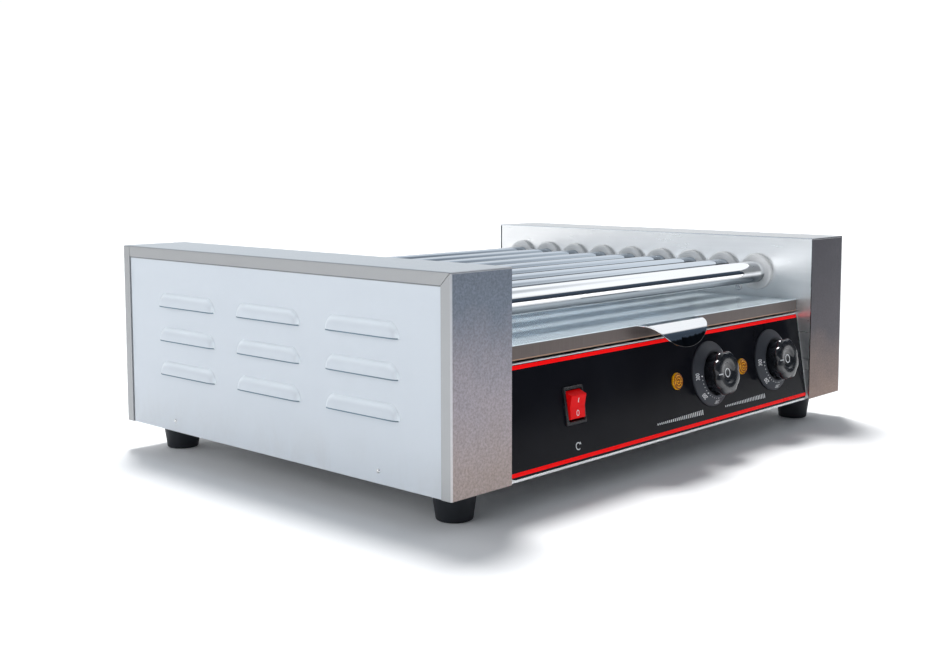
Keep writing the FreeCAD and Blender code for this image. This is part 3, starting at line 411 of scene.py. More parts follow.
def rolled_tray():
    """Polished sheet, rolled from side to side, with cleaning wipes. Its front lip carries a brown painted
    reflection with a lighter painted highlight along its lowest edge.
    """
    material, graph, shader, tone = steel("rolled_tray", (0.86, 0.95, 1.0), 0.22,
                                          (10, 700, 700), 0.05, 0.02, 0.65)
    lip = graph.math("MULTIPLY", graph.smooth(graph.axis("Y"), -0.1936, -0.1940),
                     graph.smooth(graph.axis("Z"), 0.1258, 0.1252))
    comb = graph.noise(1.0, (2600, 10, 30), detail=2.0, rough=0.7)
    # Painted reflection: the front lip's brown tones.
    painted_lip_reflection = graph.mix(comb, (0.088, 0.070, 0.064, 1), (0.16, 0.135, 0.127, 1))
    # Painted highlight along the lip's lowest edge.
    painted_lip_reflection = graph.mix(graph.smooth(graph.axis("Z"), 0.1156, 0.1150), painted_lip_reflection, (0.37, 0.24, 0.17, 1))
    graph.connect(graph.mix(lip, tone, painted_lip_reflection), shader.inputs["Base Color"])
    polish = graph.math("MAXIMUM", graph.remap(comb, 0.2, 0.8, 0.19, 0.27),
                        graph.math("MULTIPLY", lip, 0.38))
    graph.connect(polish, shader.inputs["Roughness"])
    return material


def amber_glass():
    """Lamp lens: amber, with bright and dark rings and rays painted as the glints of its moulded facets."""
    material, graph, shader = new_material("amber_glass")
    sparkle = graph.noise(700.0, detail=3.0, rough=0.7, twist=0.6)
    bands = graph.noise(1.0, (120, 900, 900), detail=2.0)
    aside = graph.math("SUBTRACT", graph.axis("X"), 0.056)
    aside = graph.math("SUBTRACT", graph.math("ABSOLUTE", aside), 0.054)
    above = graph.math("SUBTRACT", graph.axis("Z"), 0.0724)
    radius = graph.math("SQRT", graph.math("ADD", graph.math("MULTIPLY", aside, aside),
                                           graph.math("MULTIPLY", above, above)))
    # Painted highlight: bright and dark rings round each lamp's centre stand in for the facets' glints.
    ring = graph.math("SINE", graph.math("MULTIPLY", radius, 2800.0))
    ring = graph.math("ADD", graph.math("MULTIPLY", ring, 0.22),
                      graph.remap(sparkle, 0.3, 0.7, 0.2, 0.7))
    tone = graph.ramp(ring, [(0.30, (0.16, 0.035, 0.0, 1)), (0.50, (0.40, 0.12, 0.0005, 1)),
                             (0.72, (1.0, 0.50, 0.01, 1))])
    tone = graph.mix(graph.remap(bands, 0.3, 0.7, 0.0, 0.25), tone, (0.60, 0.24, 0.002, 1))
    graph.connect(tone, shader.inputs["Base Color"])
    graph.connect(tone, shader.inputs["Emission Color"])
    shader.inputs["Emission Strength"].default_value = 0.10
    shader.inputs["Specular IOR Level"].default_value = 0.25
    shader.inputs["Coat Weight"].default_value = 0.10
    shader.inputs["Coat Roughness"].default_value = 0.03
    graph.connect(graph.remap(sparkle, 0.3, 0.7, 0.12, 0.24), shader.inputs["Roughness"])
    graph.connect(graph.bump(sparkle, 0.0003, 0.6), shader.inputs["Normal"])
    return material


def powder_white():
    """Powder coat: pale blue white with fine orange peel and a little grime low down. Faces turned up or
    sideways are painted lighter as a painted highlight, and a painted shadow line runs along the border's
    inner edge.
    """
    material, graph, shader = moulded("powder_white", (0.73, 0.79, 0.85), 0.42, 0.00002, 0.0,
                                      520.0, 0.012)
    grime = graph.noise(30.0, (1, 1, 0.5), detail=6.0, rough=0.7, twist=0.5)
    low = graph.smooth(graph.axis("Z"), 0.075, 0.028)
    dirty = graph.math("MULTIPLY", graph.remap(grime, 0.45, 0.75, 0.0, 0.35), low)
    base = graph.mix(graph.noise(6.0, detail=3.0), (0.595, 0.645, 0.70, 1), (0.625, 0.67, 0.72, 1))
    facing = graph.add("ShaderNodeSeparateXYZ",
                       inputs={0: graph.add("ShaderNodeNewGeometry").outputs["Normal"]})
    # Painted highlight: faces turned up or sideways, such as the louvres' slopes, are lighter.
    slope = graph.math("MAXIMUM", graph.smooth(facing.outputs["Z"], 0.10, 0.55),
                       graph.smooth(graph.math("ABSOLUTE", facing.outputs["Y"]), 0.20, 0.70))
    base = graph.mix(slope, base, (0.86, 0.92, 0.97, 1))
    tone = graph.mix(dirty, base, (0.52, 0.53, 0.54, 1))
    # Painted shadow: a dark line where the panel meets the border's inner edge.
    painted_step_shadow = graph.math("MAXIMUM", graph.smooth(graph.axis("Z"), 0.1769, 0.1774),
                     graph.smooth(graph.math("ABSOLUTE", graph.axis("Y")), 0.1990, 0.1994))
    graph.connect(graph.mix(painted_step_shadow, tone, (0.16, 0.17, 0.18, 1)), shader.inputs["Base Color"])
    return material


def make_materials():
    """Every material by the name it is used under below."""
    made = {
        # The front-wall tones given here (top, middle, bottom) are a painted reflection of the room.
        "left_cover": cover_steel("left_cover_steel", 0.32, (0.125, 0.145, 0.175),
                                  (0.235, 0.215, 0.23), (0.245, 0.205, 0.19)),
        "right_cover": cover_steel("right_cover_steel", 0.20, (0.030, 0.029, 0.036),
                                   (0.042, 0.038, 0.044), (0.135, 0.095, 0.078)),
        "inner": steel("inner_steel", (0.86, 0.87, 0.875), 0.30, (14, 14, 260), 0.05, 0.02, 0.8)[0],
        "sheet": steel("sheet_steel", (0.70, 0.71, 0.72), 0.28, (12, 700, 700), 0.08, 0.05)[0],
        "tray": rolled_tray(),
        "zinc": steel("zinc_sheet", (0.56, 0.57, 0.58), 0.45, (60, 60, 60), 0.10, 0.10)[0],
        "roller": roller_chrome(),
        "handle": bent_tongue(),
        "bright": chrome("bright_steel", (0.70, 0.70, 0.71), 0.16),
        "oiled": chrome("oiled_steel", (0.26, 0.25, 0.24), 0.26),
        "element": chrome("element_sheath", (0.34, 0.30, 0.28), 0.30),
        "powder": powder_white(),
        # Dark strips along the louvre lips: painted shade.
        "louvre_edge": moulded("louvre_edge", (0.13, 0.20, 0.26), 0.5, 0.00002, patch=0.2)[0],
        "overlay": overlay_black(),
        # Red ink and the red rocker glow faintly: painted light.
        "red_ink": glowing(moulded("red_ink", (0.80, 0.002, 0.003), 0.30, 0.00001, patch=0.04),
                           0.45),
        "white_ink": moulded("white_ink", (0.78, 0.80, 0.82), 0.40, 0.00001, patch=0.04)[0],
        "ptfe": moulded("ptfe_white", (0.88, 0.885, 0.885), 0.38, 0.00003, patch=0.05)[0],
        "motor": moulded("motor_paint", (0.035, 0.036, 0.04), 0.38, 0.00005, 0.1)[0],
        "cast": steel("cast_case", (0.45, 0.45, 0.46), 0.50, (90, 90, 90), 0.12, 0.12)[0],
        "switch": moulded("switch_black", (0.016, 0.017, 0.021), 0.26, 0.00002, 0.2)[0],
        "red": glowing(moulded("rocker_red", (0.66, 0.004, 0.006), 0.22, 0.00001, patch=0.10), 0.20),
        "amber": amber_glass(),
        "ivory": moulded("ivory_plastic", (0.66, 0.62, 0.52), 0.45)[0],
        "dial": moulded("dial_matt", (0.045, 0.050, 0.062), 0.50, 0.00005, patch=0.10)[0],
        "knob": moulded("knob_black", (0.014, 0.016, 0.020), 0.17, 0.00001, 0.6)[0],
        "gland": moulded("gland_black", (0.02, 0.02, 0.022), 0.42)[0],
        "rubber": moulded("foot_rubber", (0.015, 0.018, 0.024), 0.55, 0.00006, patch=0.2)[0],
    }
    return made


# ------------------------------------------------------------------ mesh building
def build(name, verts, faces, material, body, smooth_angle=35.0, bevel=0.0):
    """A mesh piece that rides on a body, with soft shading below an edge angle."""
    mesh = bpy.data.meshes.new(name)
    mesh.from_pydata([tuple(v) for v in verts], [], faces)
    mesh.update()
    tidy = bmesh.new()
    tidy.from_mesh(mesh)
    bmesh.ops.remove_doubles(tidy, verts=tidy.verts, dist=1e-7)
    bmesh.ops.recalc_face_normals(tidy, faces=tidy.faces)
    tidy.to_mesh(mesh)
    tidy.free()
    mesh.shade_smooth()
    mesh.set_sharp_from_angle(angle=math.radians(smooth_angle))
    mesh.materials.append(MATERIALS[material])
    obj = bpy.data.objects.new(name, mesh)
    bpy.context.scene.collection.objects.link(obj)
    if bevel:
        edge = obj.modifiers.new("bevel", "BEVEL")
        edge.width = bevel
        edge.segments = 3
        edge.limit_method = "ANGLE"
        edge.angle_limit = math.radians(30)
    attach(obj, body)
    return obj


def turned(profile, segments, matrix, closed=True):
    """Vertices and faces of an outline (radius, height) turned about +Z, then placed."""
    verts, faces = [], []
    count = len(profile)
    for i in range(segments):
        turn = 2 * math.pi * i / segments
        for r, h in profile:
            verts.append(matrix @ Vector((r * math.cos(turn), r * math.sin(turn), h)))
    for i in range(segments):
        a, b = i * count, (i + 1) % segments * count
        for j in range(count if closed else count - 1):
            k = (j + 1) % count
            faces.append((a + j, a + k, b + k, b + j))
    return verts, faces


def rounded(points, radius, steps=4):
    """An outline with its corners turned into arcs; radius is one number or one per corner."""
    radii = radius if isinstance(radius, (list, tuple)) else [radius] * len(points)
    result = []
    count = len(points)
    for i, corner in enumerate(points):
        here = Vector(corner)
        before = Vector(points[i - 1]) - here
        after = Vector(points[(i + 1) % count]) - here
        size = radii[i]
        if size <= 0 or before.length < 1e-9 or after.length < 1e-9:
            result.append(tuple(here))
            continue
        half = before.angle(after, math.pi) / 2
        reach = min(size / math.tan(half), before.length * 0.49, after.length * 0.49)
        start = here + before.normalized() * reach
        end = here + after.normalized() * reach
        for k in range(steps + 1):
            t = k / steps
            point = start * (1 - t) ** 2 + here * 2 * t * (1 - t) + end * t * t
            result.append(tuple(point))
    return result


def slab(outline, low, high, matrix):
    """Vertices and faces of a flat outline given a thickness along local Z."""
    count = len(outline)
    verts = [matrix @ Vector((x, y, z)) for z in (low, high) for x, y in outline]
    faces = [tuple(range(count))[::-1], tuple(range(count, 2 * count))]
    faces += [(i, (i + 1) % count, count + (i + 1) % count, count + i) for i in range(count)]
    return verts, faces


def joined(parts):
    """Several (vertices, faces) sets as one."""
    verts, faces = [], []
    for some_verts, some_faces in parts:
        base = len(verts)
        verts += some_verts
        faces += [tuple(base + i for i in face) for face in some_faces]
    return verts, faces


def along_x(x, y, z, outward):
    """Placement whose +Z runs along +X or -X."""
    turn = Matrix.Rotation(math.radians(90 * outward), 4, "Y")
    return Matrix.Translation((x, y, z)) @ turn


def mid(node):
    low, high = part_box(node)
    return (low + high) / 2


# ------------------------------------------------------------------ control panel axes
OUT = Vector(JOINTS["left_knob_turn"]["axis"]).normalized()
UP = OUT.cross(Vector((1, 0, 0))).normalized()
FACE_POINT = Vector(JOINTS["left_knob_turn"]["pos_m"])


def on_panel(x, up=0.0, out=0.0):
    """Placement on the panel's printed face: X along, Y up the slope, Z outwards.

    up is measured from the line through the controls' centres."""
    place = Vector((x, FACE_POINT.y, FACE_POINT.z)) + UP * up + OUT * out
    matrix = Matrix.Identity(4)
    for row in range(3):
        matrix[row][0] = (1, 0, 0)[row]
        matrix[row][1] = UP[row]
        matrix[row][2] = OUT[row]
        matrix[row][3] = place[row]
    return matrix


# ------------------------------------------------------------------ rollers and bushings
ROLLER_NAMES = ["roller_%d" % i for i in range(1, 10)]
ROLLER_R = 11.0 * MM
ROLLER_WALL = 1.2 * MM


def make_rollers():
    """Mirror-bright tubes with softened ends, one on each roller's body."""
    for i, node in enumerate(ROLLER_NAMES, 1):
        low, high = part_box(node)
        centre = (low + high) / 2
        length = high.x - low.x
        collar = (high.z - low.z) / 2
        inner = ROLLER_R - ROLLER_WALL
        profile = [(inner, 0), (ROLLER_R, 0), (ROLLER_R, length - 2 * MM), (collar, length - 2 * MM),
                   (collar, length), (inner, length)]
        profile = rounded(profile, [0.2 * MM] * 6, 2)
        verts, faces = turned(profile, 128, along_x(low.x, centre.y, centre.z, 1))
        tube = build("tube_%d" % i, verts, faces, "roller", "roller_body_%d" % i)
        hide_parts(node)


def make_bushings():
    """White flanged bushings: rounded flange, slightly dished face and a hub in the plate."""
    low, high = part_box("roller_bushings")
    hub_r, flange_r = 14.0 * MM, (mid("roller_bushings").z - low.z)
    hub = 7.0 * MM
    flange = 5.0 * MM
    bore = ROLLER_R + 0.08 * MM
    profile = [(bore, -hub), (hub_r, -hub), (hub_r, 0), (flange_r, 0), (flange_r, flange - 0.9 * MM),
               (flange_r - 1.3 * MM, flange), (flange_r - 3.6 * MM, flange),
               (flange_r - 4.0 * MM, flange - 0.35 * MM), (bore + 2.0 * MM, flange - 0.35 * MM),
               (bore + 1.3 * MM, flange - 0.9 * MM), (bore, flange - 0.9 * MM)]
    radii = [0, 0.3 * MM, 0, 0.3 * MM, 0.8 * MM, 0.8 * MM, 0.2 * MM, 0.2 * MM, 0.4 * MM, 0.3 * MM, 0.3 * MM]
    outline = rounded(profile, radii, 3)
    parts = []
    for node in ROLLER_NAMES:
        centre = mid(node)
        for side in (-1, 1):
            x = side * (abs(high.x) - hub)
            parts.append(turned(outline, 72, along_x(x, centre.y, centre.z, -side)))
    verts, faces = joined(parts)
    rings = build("bushing_rings", verts, faces, "ptfe", "frame")
    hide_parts("roller_bushings")


# ------------------------------------------------------------------ louvred side panels
LOUVRE_LEN = 82.8 * MM
LOUVRE_PITCH_Y = 113.8 * MM
LOUVRE_PITCH_Z = 30.3 * MM
LOUVRE_FIRST_Y = -157.0 * MM
LOUVRE_LOW_Z = 75.7 * MM
LOUVRE_H = 12.0 * MM
LOUVRE_OUT = 3.0 * MM
LOUVRE_END = 12.0 * MM           # length of each rounded end
LOUVRE_SKIN = 0.9 * MM


def louvre_rise(u, v):
    """Height of a pressed louvre: u from end to end and v up from the lip, both in metres."""
    middle = LOUVRE_LEN / 2
    beyond = max(0.0, abs(u - middle) - (middle - LOUVRE_END)) / LOUVRE_END
    out = math.hypot(beyond, v / LOUVRE_H)
    if out >= 1.0:
        return 0.0
    return LOUVRE_OUT * (1 - out ** 4.0) ** 0.9


def louvre_patch(side, x_face, y0, z0):
    """Pressed skin of one louvre, closed at its outline and open under its lip."""
    columns, rows = 72, 16
    verts, faces = [], []
    for layer in (0.0, -LOUVRE_SKIN):
        for i in range(columns + 1):
            for j in range(rows + 1):
                u = LOUVRE_LEN * (1 - math.cos(math.pi * i / columns)) / 2
                v = LOUVRE_H * j / rows
                verts.append(Vector((x_face + side * (louvre_rise(u, v) + layer), y0 + u, z0 + v)))
    step = rows + 1
    half = (columns + 1) * step
    for i in range(columns):
        for j in range(rows):
            a = i * step + j
            faces.append((a, a + step, a + step + 1, a + 1))
            faces.append((half + a + 1, half + a + step + 1, half + a + step, half + a))
    rim = [(i * step, (i + 1) * step) for i in range(columns)]
    rim += [(i * step + rows, (i + 1) * step + rows) for i in range(columns)]
    rim += [(j, j + 1) for j in range(rows)]
    rim += [(columns * step + j, columns * step + j + 1) for j in range(rows)]
    faces += [(a, b, half + b, half + a) for a, b in rim]
    return verts, faces


def louvre_edge(side, x_face, y0, z0):
    """Painted shade: a thin dark strip that follows one louvre's lip, standing in for the shadow line the lip
    casts.
    """
    columns = 72
    verts, faces = [], []
    for i in range(columns + 1):
        u = 0.8 * MM + (LOUVRE_LEN - 1.6 * MM) * (1 - math.cos(math.pi * i / columns)) / 2
        rise = louvre_rise(u, 0.0)
        for out, up in ((-0.5, -0.35), (0.08, -0.35), (0.08, 0.55), (-0.5, 0.55)):
            verts.append(Vector((x_face + side * (rise + out * MM), y0 + u, z0 + up * MM)))
    for i in range(columns):
        for k in range(4):
            a, b = i * 4 + k, i * 4 + (k + 1) % 4
            faces.append((a, b, b + 4, a + 4))
    end = columns * 4
    faces += [(3, 2, 1, 0), (end, end + 1, end + 2, end + 3)]
    return verts, faces


def panel_sheet(side, x_face, low, high):
    """Flat sheet with one window per louvre, as a grid of boxes."""
    ys = [low.y]
    for k in range(3):
        start = LOUVRE_FIRST_Y + LOUVRE_PITCH_Y * k
        ys += [start, start + LOUVRE_LEN]
    ys.append(high.y)
    zs = [low.z]
    for k in range(3):
        start = LOUVRE_LOW_Z + LOUVRE_PITCH_Z * k
        zs += [start, start + LOUVRE_H]
    zs.append(high.z)
    back = x_face - side * 1.0 * MM
    verts, index = [], {}
    for x in (x_face, back):
        for y in ys:
            for z in zs:
                index[x, y, z] = len(verts)
                verts.append(Vector((x, y, z)))
    faces = []

    def solid(i, j):
        return 0 <= i < len(ys) - 1 and 0 <= j < len(zs) - 1 and not (i % 2 == 1 and j % 2 == 1)

    for i in range(len(ys) - 1):
        for j in range(len(zs) - 1):
            if not solid(i, j):
                continue
            for x in (x_face, back):
                faces.append(tuple(index[x, y, z] for y, z in (
                    (ys[i], zs[j]), (ys[i + 1], zs[j]), (ys[i + 1], zs[j + 1]), (ys[i], zs[j + 1]))))
            walls = [((-1, 0), (ys[i], zs[j]), (ys[i], zs[j + 1])),
                     ((1, 0), (ys[i + 1], zs[j]), (ys[i + 1], zs[j + 1])),
                     ((0, -1), (ys[i], zs[j]), (ys[i + 1], zs[j])),
                     ((0, 1), (ys[i], zs[j + 1]), (ys[i + 1], zs[j + 1]))]
            for (di, dj), a, b in walls:
                if not solid(i + di, j + dj):
                    faces.append((index[(x_face,) + a], index[(x_face,) + b],
                                  index[(back,) + b], index[(back,) + a]))
    return verts, faces


def make_side_panel(side, node):
    """White panel with nine pressed louvres and a painted shadow strip along each lip."""
    low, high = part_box(node)
    x_face = side * (max(abs(low.x), abs(high.x)) - LOUVRE_OUT)
    parts, edges = [panel_sheet(side, x_face, low, high)], []
    for column in range(3):
        for row in range(3):
            y0 = LOUVRE_FIRST_Y + LOUVRE_PITCH_Y * column
            z0 = LOUVRE_LOW_Z + LOUVRE_PITCH_Z * row
            parts.append(louvre_patch(side, x_face, y0, z0))
            edges.append(louvre_edge(side, x_face, y0, z0))
    verts, faces = joined(parts)
    panel = build(node + "_skin", verts, faces, "powder", "frame", 40)
    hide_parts(node)
    verts, faces = joined(edges)
    # Painted shade strips along the louvre lips.
    build(node + "_louvre_edges", verts, faces, "louvre_edge", "frame")


# ------------------------------------------------------------------ switch, lamps, dials, knobs
SWITCH_X = mid("rocker_bezel").x
LAMP_XS = (2.0 * MM, 110.0 * MM)
CONTROL_SIDES = ("left", "right")


def rectangle(w, h):
    return [(-w / 2, -h / 2), (w / 2, -h / 2), (w / 2, h / 2), (-w / 2, h / 2)]


def make_switch():
    """Black bezel with a stepped opening, and a red V-faced rocker with its two marks."""
    place = on_panel(SWITCH_X)
    outer = rounded(rectangle(24.5 * MM, 30.5 * MM), 1.6 * MM, 5)
    inner = rounded(rectangle(19.4 * MM, 25.5 * MM), 0.8 * MM, 5)
    step = rounded(rectangle(20.6 * MM, 26.7 * MM), 1.2 * MM, 5)
    edge = rounded(rectangle(23.3 * MM, 29.3 * MM), 1.2 * MM, 5)
    rings = [(outer, 0.0), (outer, 1.5 * MM), (edge, 2.2 * MM), (step, 2.2 * MM), (step, 1.7 * MM),
             (inner, 1.7 * MM), (inner, -9.4 * MM)]
    count = len(outer)
    verts = [place @ Vector((x, y, z)) for ring, z in rings for x, y in ring]
    faces = []
    for level in range(len(rings) - 1):
        for i in range(count):
            a, b = level * count + i, level * count + (i + 1) % count
            faces.append((a, b, b + count, a + count))
    faces.append(tuple(range((len(rings) - 1) * count, len(rings) * count)))
    body = rounded(rectangle(20.8 * MM, 27.0 * MM), 0.8 * MM, 5)
    verts_body, faces_body = slab(body, -20 * MM, -9.6 * MM, place)
    verts, faces = joined([(verts, faces), (verts_body, faces_body)])
    bezel = build("switch_bezel", verts, faces, "switch", "frame", 32)
    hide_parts("rocker_bezel")

    half_w, half_back, half_face = 9.3 * MM, 12.1 * MM, 9.4 * MM
    high, middle, pivot = 6.3 * MM, 5.3 * MM, -1.0 * MM
    side_view = [(-half_back, -1.5 * MM), (-half_face, high), (0.0, middle), (half_face, high),
                 (half_back, -1.5 * MM), (0.0, -3.5 * MM)]
    outline = rounded(side_view, [0, 0.6 * MM, 9 * MM, 0.6 * MM, 0, 0], 6)
    spin = on_panel(SWITCH_X, 0, pivot) @ Matrix.Rotation(math.radians(12.0), 4, "X")
    layout = Matrix(((0, 0, 1, 0), (1, 0, 0, 0), (0, 1, 0, 0), (0, 0, 0, 1)))
    verts, faces = slab(outline, -half_w, half_w, spin @ layout)
    rocker = build("rocker", verts, faces, "red", "rocker", 30, 0.5 * MM)
    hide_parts("rocker_button")

    lean = math.atan2(high - middle, half_face)
    mark_y, mark_z = 5.2 * MM, middle + 5.2 * MM * math.tan(lean)
    upper = spin @ Matrix.Translation((0, mark_y, mark_z)) @ Matrix.Rotation(lean, 4, "X")
    lower = spin @ Matrix.Translation((0, -mark_y, mark_z)) @ Matrix.Rotation(-lean, 4, "X")
    bar = slab(rounded(rectangle(0.75 * MM, 3.8 * MM), 0.3 * MM, 3), -0.1 * MM, 0.06 * MM, upper)
    ring = turned([(1.5 * MM, -0.1 * MM), (2.1 * MM, -0.1 * MM), (2.1 * MM, 0.06 * MM),
                   (1.5 * MM, 0.06 * MM)], 40, lower @ Matrix.Diagonal((0.85, 1.15, 1, 1)))
    verts, faces = joined([bar, ring])
    build("rocker_marks", verts, faces, "white_ink", "rocker")


def make_lamps():
    """Amber lenses: a plain rim round a field of small pyramids."""
    parts = []
    radius = 7.5 * MM
    cells = 12
    for x in LAMP_XS:
        place = on_panel(x)
        profile = rounded([(0.2 * MM, -3 * MM), (5.9 * MM, -3 * MM), (5.9 * MM, 0), (radius, 0),
                           (radius, 1.2 * MM), (radius - 0.9 * MM, 2.3 * MM), (radius - 1.6 * MM, 2.1 * MM),
                           (0.2 * MM, 2.1 * MM)], [0, 0, 0, 0.1 * MM, 0.8 * MM, 0.3 * MM, 0.2 * MM, 0], 4)
        parts.append(turned(profile, 64, place))
        pitch = 2 * (radius - 1.7 * MM) / cells * 2
        for i in range(-cells // 4, cells // 4 + 1):
            for j in range(-cells // 4, cells // 4 + 1):
                cx, cy = i * pitch, j * pitch
                if math.hypot(cx, cy) > radius - 1.9 * MM:
                    continue
                half = pitch / 2
                base = [place @ Vector((cx + a * half, cy + b * half, 2.05 * MM))
                        for a, b in ((-1, -1), (1, -1), (1, 1), (-1, 1))]
                tip = place @ Vector((cx, cy, 2.95 * MM - 6.0 * (cx * cx + cy * cy)))
                parts.append((base + [tip], [(0, 1, 4), (1, 2, 4), (2, 3, 4), (3, 0, 4), (3, 2, 1, 0)]))
    verts, faces = joined(parts)
    lenses = build("lamp_lenses", verts, faces, "amber", "frame", 25)
    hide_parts("pilot_lamps")


DIAL_PROFILE = [(5.6, 0), (29.6, 0), (29.6, 1.3), (28.6, 2.2), (21.6, 6.8), (20.6, 7.0), (19.4, 6.4),
                (19.4, 1.8), (5.6, 1.8)]


def cone_height(r):
    """Height of the dial's conical face at a radius."""
    return (2.2 + (28.6 * MM - r) / MM * (6.8 - 2.2) / (28.6 - 21.6)) * MM


def text_mesh(words, size):
    """Flat outline of some characters, centred, as vertices and faces."""
    curve = bpy.data.curves.new("figure", "FONT")
    curve.body = words
    curve.size = size
    curve.offset = size * 0.018
    curve.align_x = "CENTER"
    curve.align_y = "CENTER"
    curve.resolution_u = 3
    holder = bpy.data.objects.new("figure", curve)
    mesh = bpy.data.meshes.new_from_object(holder)
    verts = [v.co.copy() for v in mesh.vertices]
    faces = [tuple(p.vertices) for p in mesh.polygons]
    bpy.data.objects.remove(holder)
    bpy.data.curves.remove(curve)
    bpy.data.meshes.remove(mesh)
    return verts, faces


def make_dial(side):
    """Conical scale ring with its figures and ten-degree dots."""
    x = JOINTS[side + "_knob_turn"]["pos_m"][0]
    place = on_panel(x)
    points = [(r * MM, h * MM) for r, h in DIAL_PROFILE]
    profile = rounded(points, [0, 0.2 * MM, 0.6 * MM, 0.8 * MM, 0.5 * MM, 0.5 * MM, 0.5 * MM, 0.3 * MM, 0], 4)
    verts, faces = turned(profile, 128, place)
    ring = build(side + "_dial_ring", verts, faces, "dial", "frame", 40)
    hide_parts(side + "_dial")

    parts = []
    ink = 0.05 * MM
    for step in range(26):
        degrees = 50 + 10 * step
        turn = math.radians(90 - 45 * degrees / 50)
        major = degrees % 50 == 0
        r = 22.6 * MM
        spot = 0.62 * MM if major else 0.36 * MM
        centre = Vector((r * math.cos(turn), r * math.sin(turn), 0))
        rim = [centre + Vector((spot * math.cos(a), spot * math.sin(a), 0))
               for a in (2 * math.pi * k / 12 for k in range(12))]
        lifted = [place @ Vector((p.x, p.y, cone_height(math.hypot(p.x, p.y)) + ink)) for p in rim]
        parts.append((lifted, [tuple(range(12))]))
        if major:
            flat, figure_faces = text_mesh(str(degrees), 4.3 * MM)
            spin = Matrix.Rotation(turn - math.pi / 2, 4, "Z")
            wrapped = []
            for v in flat:
                p = spin @ Vector((v.x, v.y + 25.9 * MM, 0))
                wrapped.append(place @ Vector((p.x, p.y, cone_height(math.hypot(p.x, p.y)) + ink)))
            parts.append((wrapped, figure_faces))
    verts, faces = joined(parts)
    build(side + "_dial_print", verts, faces, "white_ink", "frame")


KNOB_LOBES = 8


def knob_radius(r, flute, turn):
    """Radius of the knob's side: broad lobes parted by narrower scallops."""
    wave = 0.5 - 0.5 * math.cos(KNOB_LOBES * turn)
    return r - flute * (1 - wave ** 0.55)


def make_knob(side):
    """Glossy fluted knob with a dished face, a white pointer line and a plain ring mark."""
    joint = JOINTS[side + "_knob_turn"]
    place = on_panel(joint["pos_m"][0])
    shape = [(3.0, 16.4, 0), (3.0, 6.5, 0), (5.9, 6.0, 0), (6.0, 10.0, 0), (14.4, 10.0, 0), (14.6, 3.4, 0),
             (15.2, 2.7, 0.2), (16.6, 2.7, 0.8), (17.3, 3.4, 1.2), (17.6, 6.0, 1.4), (18.0, 9.5, 1.6),
             (18.9, 12.6, 1.8), (20.0, 15.2, 2.0), (20.2, 16.8, 2.0), (19.9, 18.3, 1.95), (19.1, 19.5, 1.7),
             (17.9, 20.2, 1.2), (16.2, 20.4, 0.6), (13.5, 20.4, 0.1), (10.6, 20.4, 0), (9.9, 20.3, 0),
             (9.3, 19.9, 0), (8.7, 19.1, 0), (8.0, 18.8, 0), (6.5, 18.7, 0), (0.0, 18.6, 0)]
    segments = 192
    verts, faces = [], []
    count = len(shape)
    for i in range(segments):
        turn = 2 * math.pi * i / segments
        for r, h, flute in shape:
            reach = knob_radius(r, flute, turn) * MM
            verts.append(place @ Vector((reach * math.cos(turn), reach * math.sin(turn), h * MM)))
    for i in range(segments):
        a, b = i * count, (i + 1) % segments * count
        for j in range(count - 1):
            faces.append((a + j, a + j + 1, b + j + 1, b + j))
    faces.append(tuple(i * count for i in range(segments)))
    body = side + "_knob_body"
    knob = build(side + "_knob_cap", verts, faces, "knob", body, 50)
    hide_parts(side + "_knob")

    line = slab(rounded(rectangle(6.6 * MM, 0.9 * MM), 0.4 * MM, 3), 20.30 * MM, 20.46 * MM,
                place @ Matrix.Translation((-13.6 * MM, 0, 0)))
    ring = turned([(3.3 * MM, 18.6 * MM), (4.1 * MM, 18.6 * MM), (4.1 * MM, 18.78 * MM),
                   (3.3 * MM, 18.78 * MM)], 48, place)
    verts, faces = joined([line, ring])
    build(side + "_knob_marks", verts, faces, "white_ink", body)


# ------------------------------------------------------------------ printed panel
def make_print():
    """Two red lines and plain pictograms in place of the legends."""
    low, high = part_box("panel_overlay")
    half = high.x
    bottom = (low.z - FACE_POINT.z) / UP.z
    parts = []
    for centre, tall in ((84.2 - 46.8, 3.1), (5.0 - 46.8, 3.0)):
        place = on_panel(0, centre * MM)
        parts.append(slab(rectangle(2 * half - 2.4 * MM, tall * MM), 0.0, 0.05 * MM, place))
    verts, faces = joined(parts)
    build("red_lines", verts, faces, "red_ink", "frame")

    parts = []
    text_line = bottom + 12.6 * MM
    for x in LAMP_XS:
        count = 25
        for k in range(count):
            tall = (1.4 + 3.0 * k / (count - 1)) * MM
            place = on_panel(x + (k - (count - 1) / 2) * 2.9 * MM, text_line)
            parts.append(slab(rectangle(1.3 * MM, tall), 0.0, 0.05 * MM, place))
    turn_mark = on_panel(SWITCH_X, text_line)
    arc = []
    inner, outer = 2.3 * MM, 3.2 * MM
    for k in range(25):
        angle = math.radians(30 + 285 * k / 24)
        arc.append((math.cos(angle), math.sin(angle)))
    outline = [(outer * c, outer * s) for c, s in arc] + [(inner * c, inner * s) for c, s in arc[::-1]]
    count = len(arc)
    verts = [turn_mark @ Vector((x, y, 0.05 * MM)) for x, y in outline]
    faces = [(i, i + 1, 2 * count - 2 - i, 2 * count - 1 - i) for i in range(count - 1)]
    parts.append((verts, faces))
    tip = [(3.9 * MM, 1.0 * MM), (1.2 * MM, 1.2 * MM), (2.9 * MM, 3.2 * MM)]
    parts.append(([turn_mark @ Vector((x, y, 0.05 * MM)) for x, y in tip], [(0, 1, 2)]))
    verts, faces = joined(parts)
    build("panel_marks", verts, faces, "white_ink", "frame")


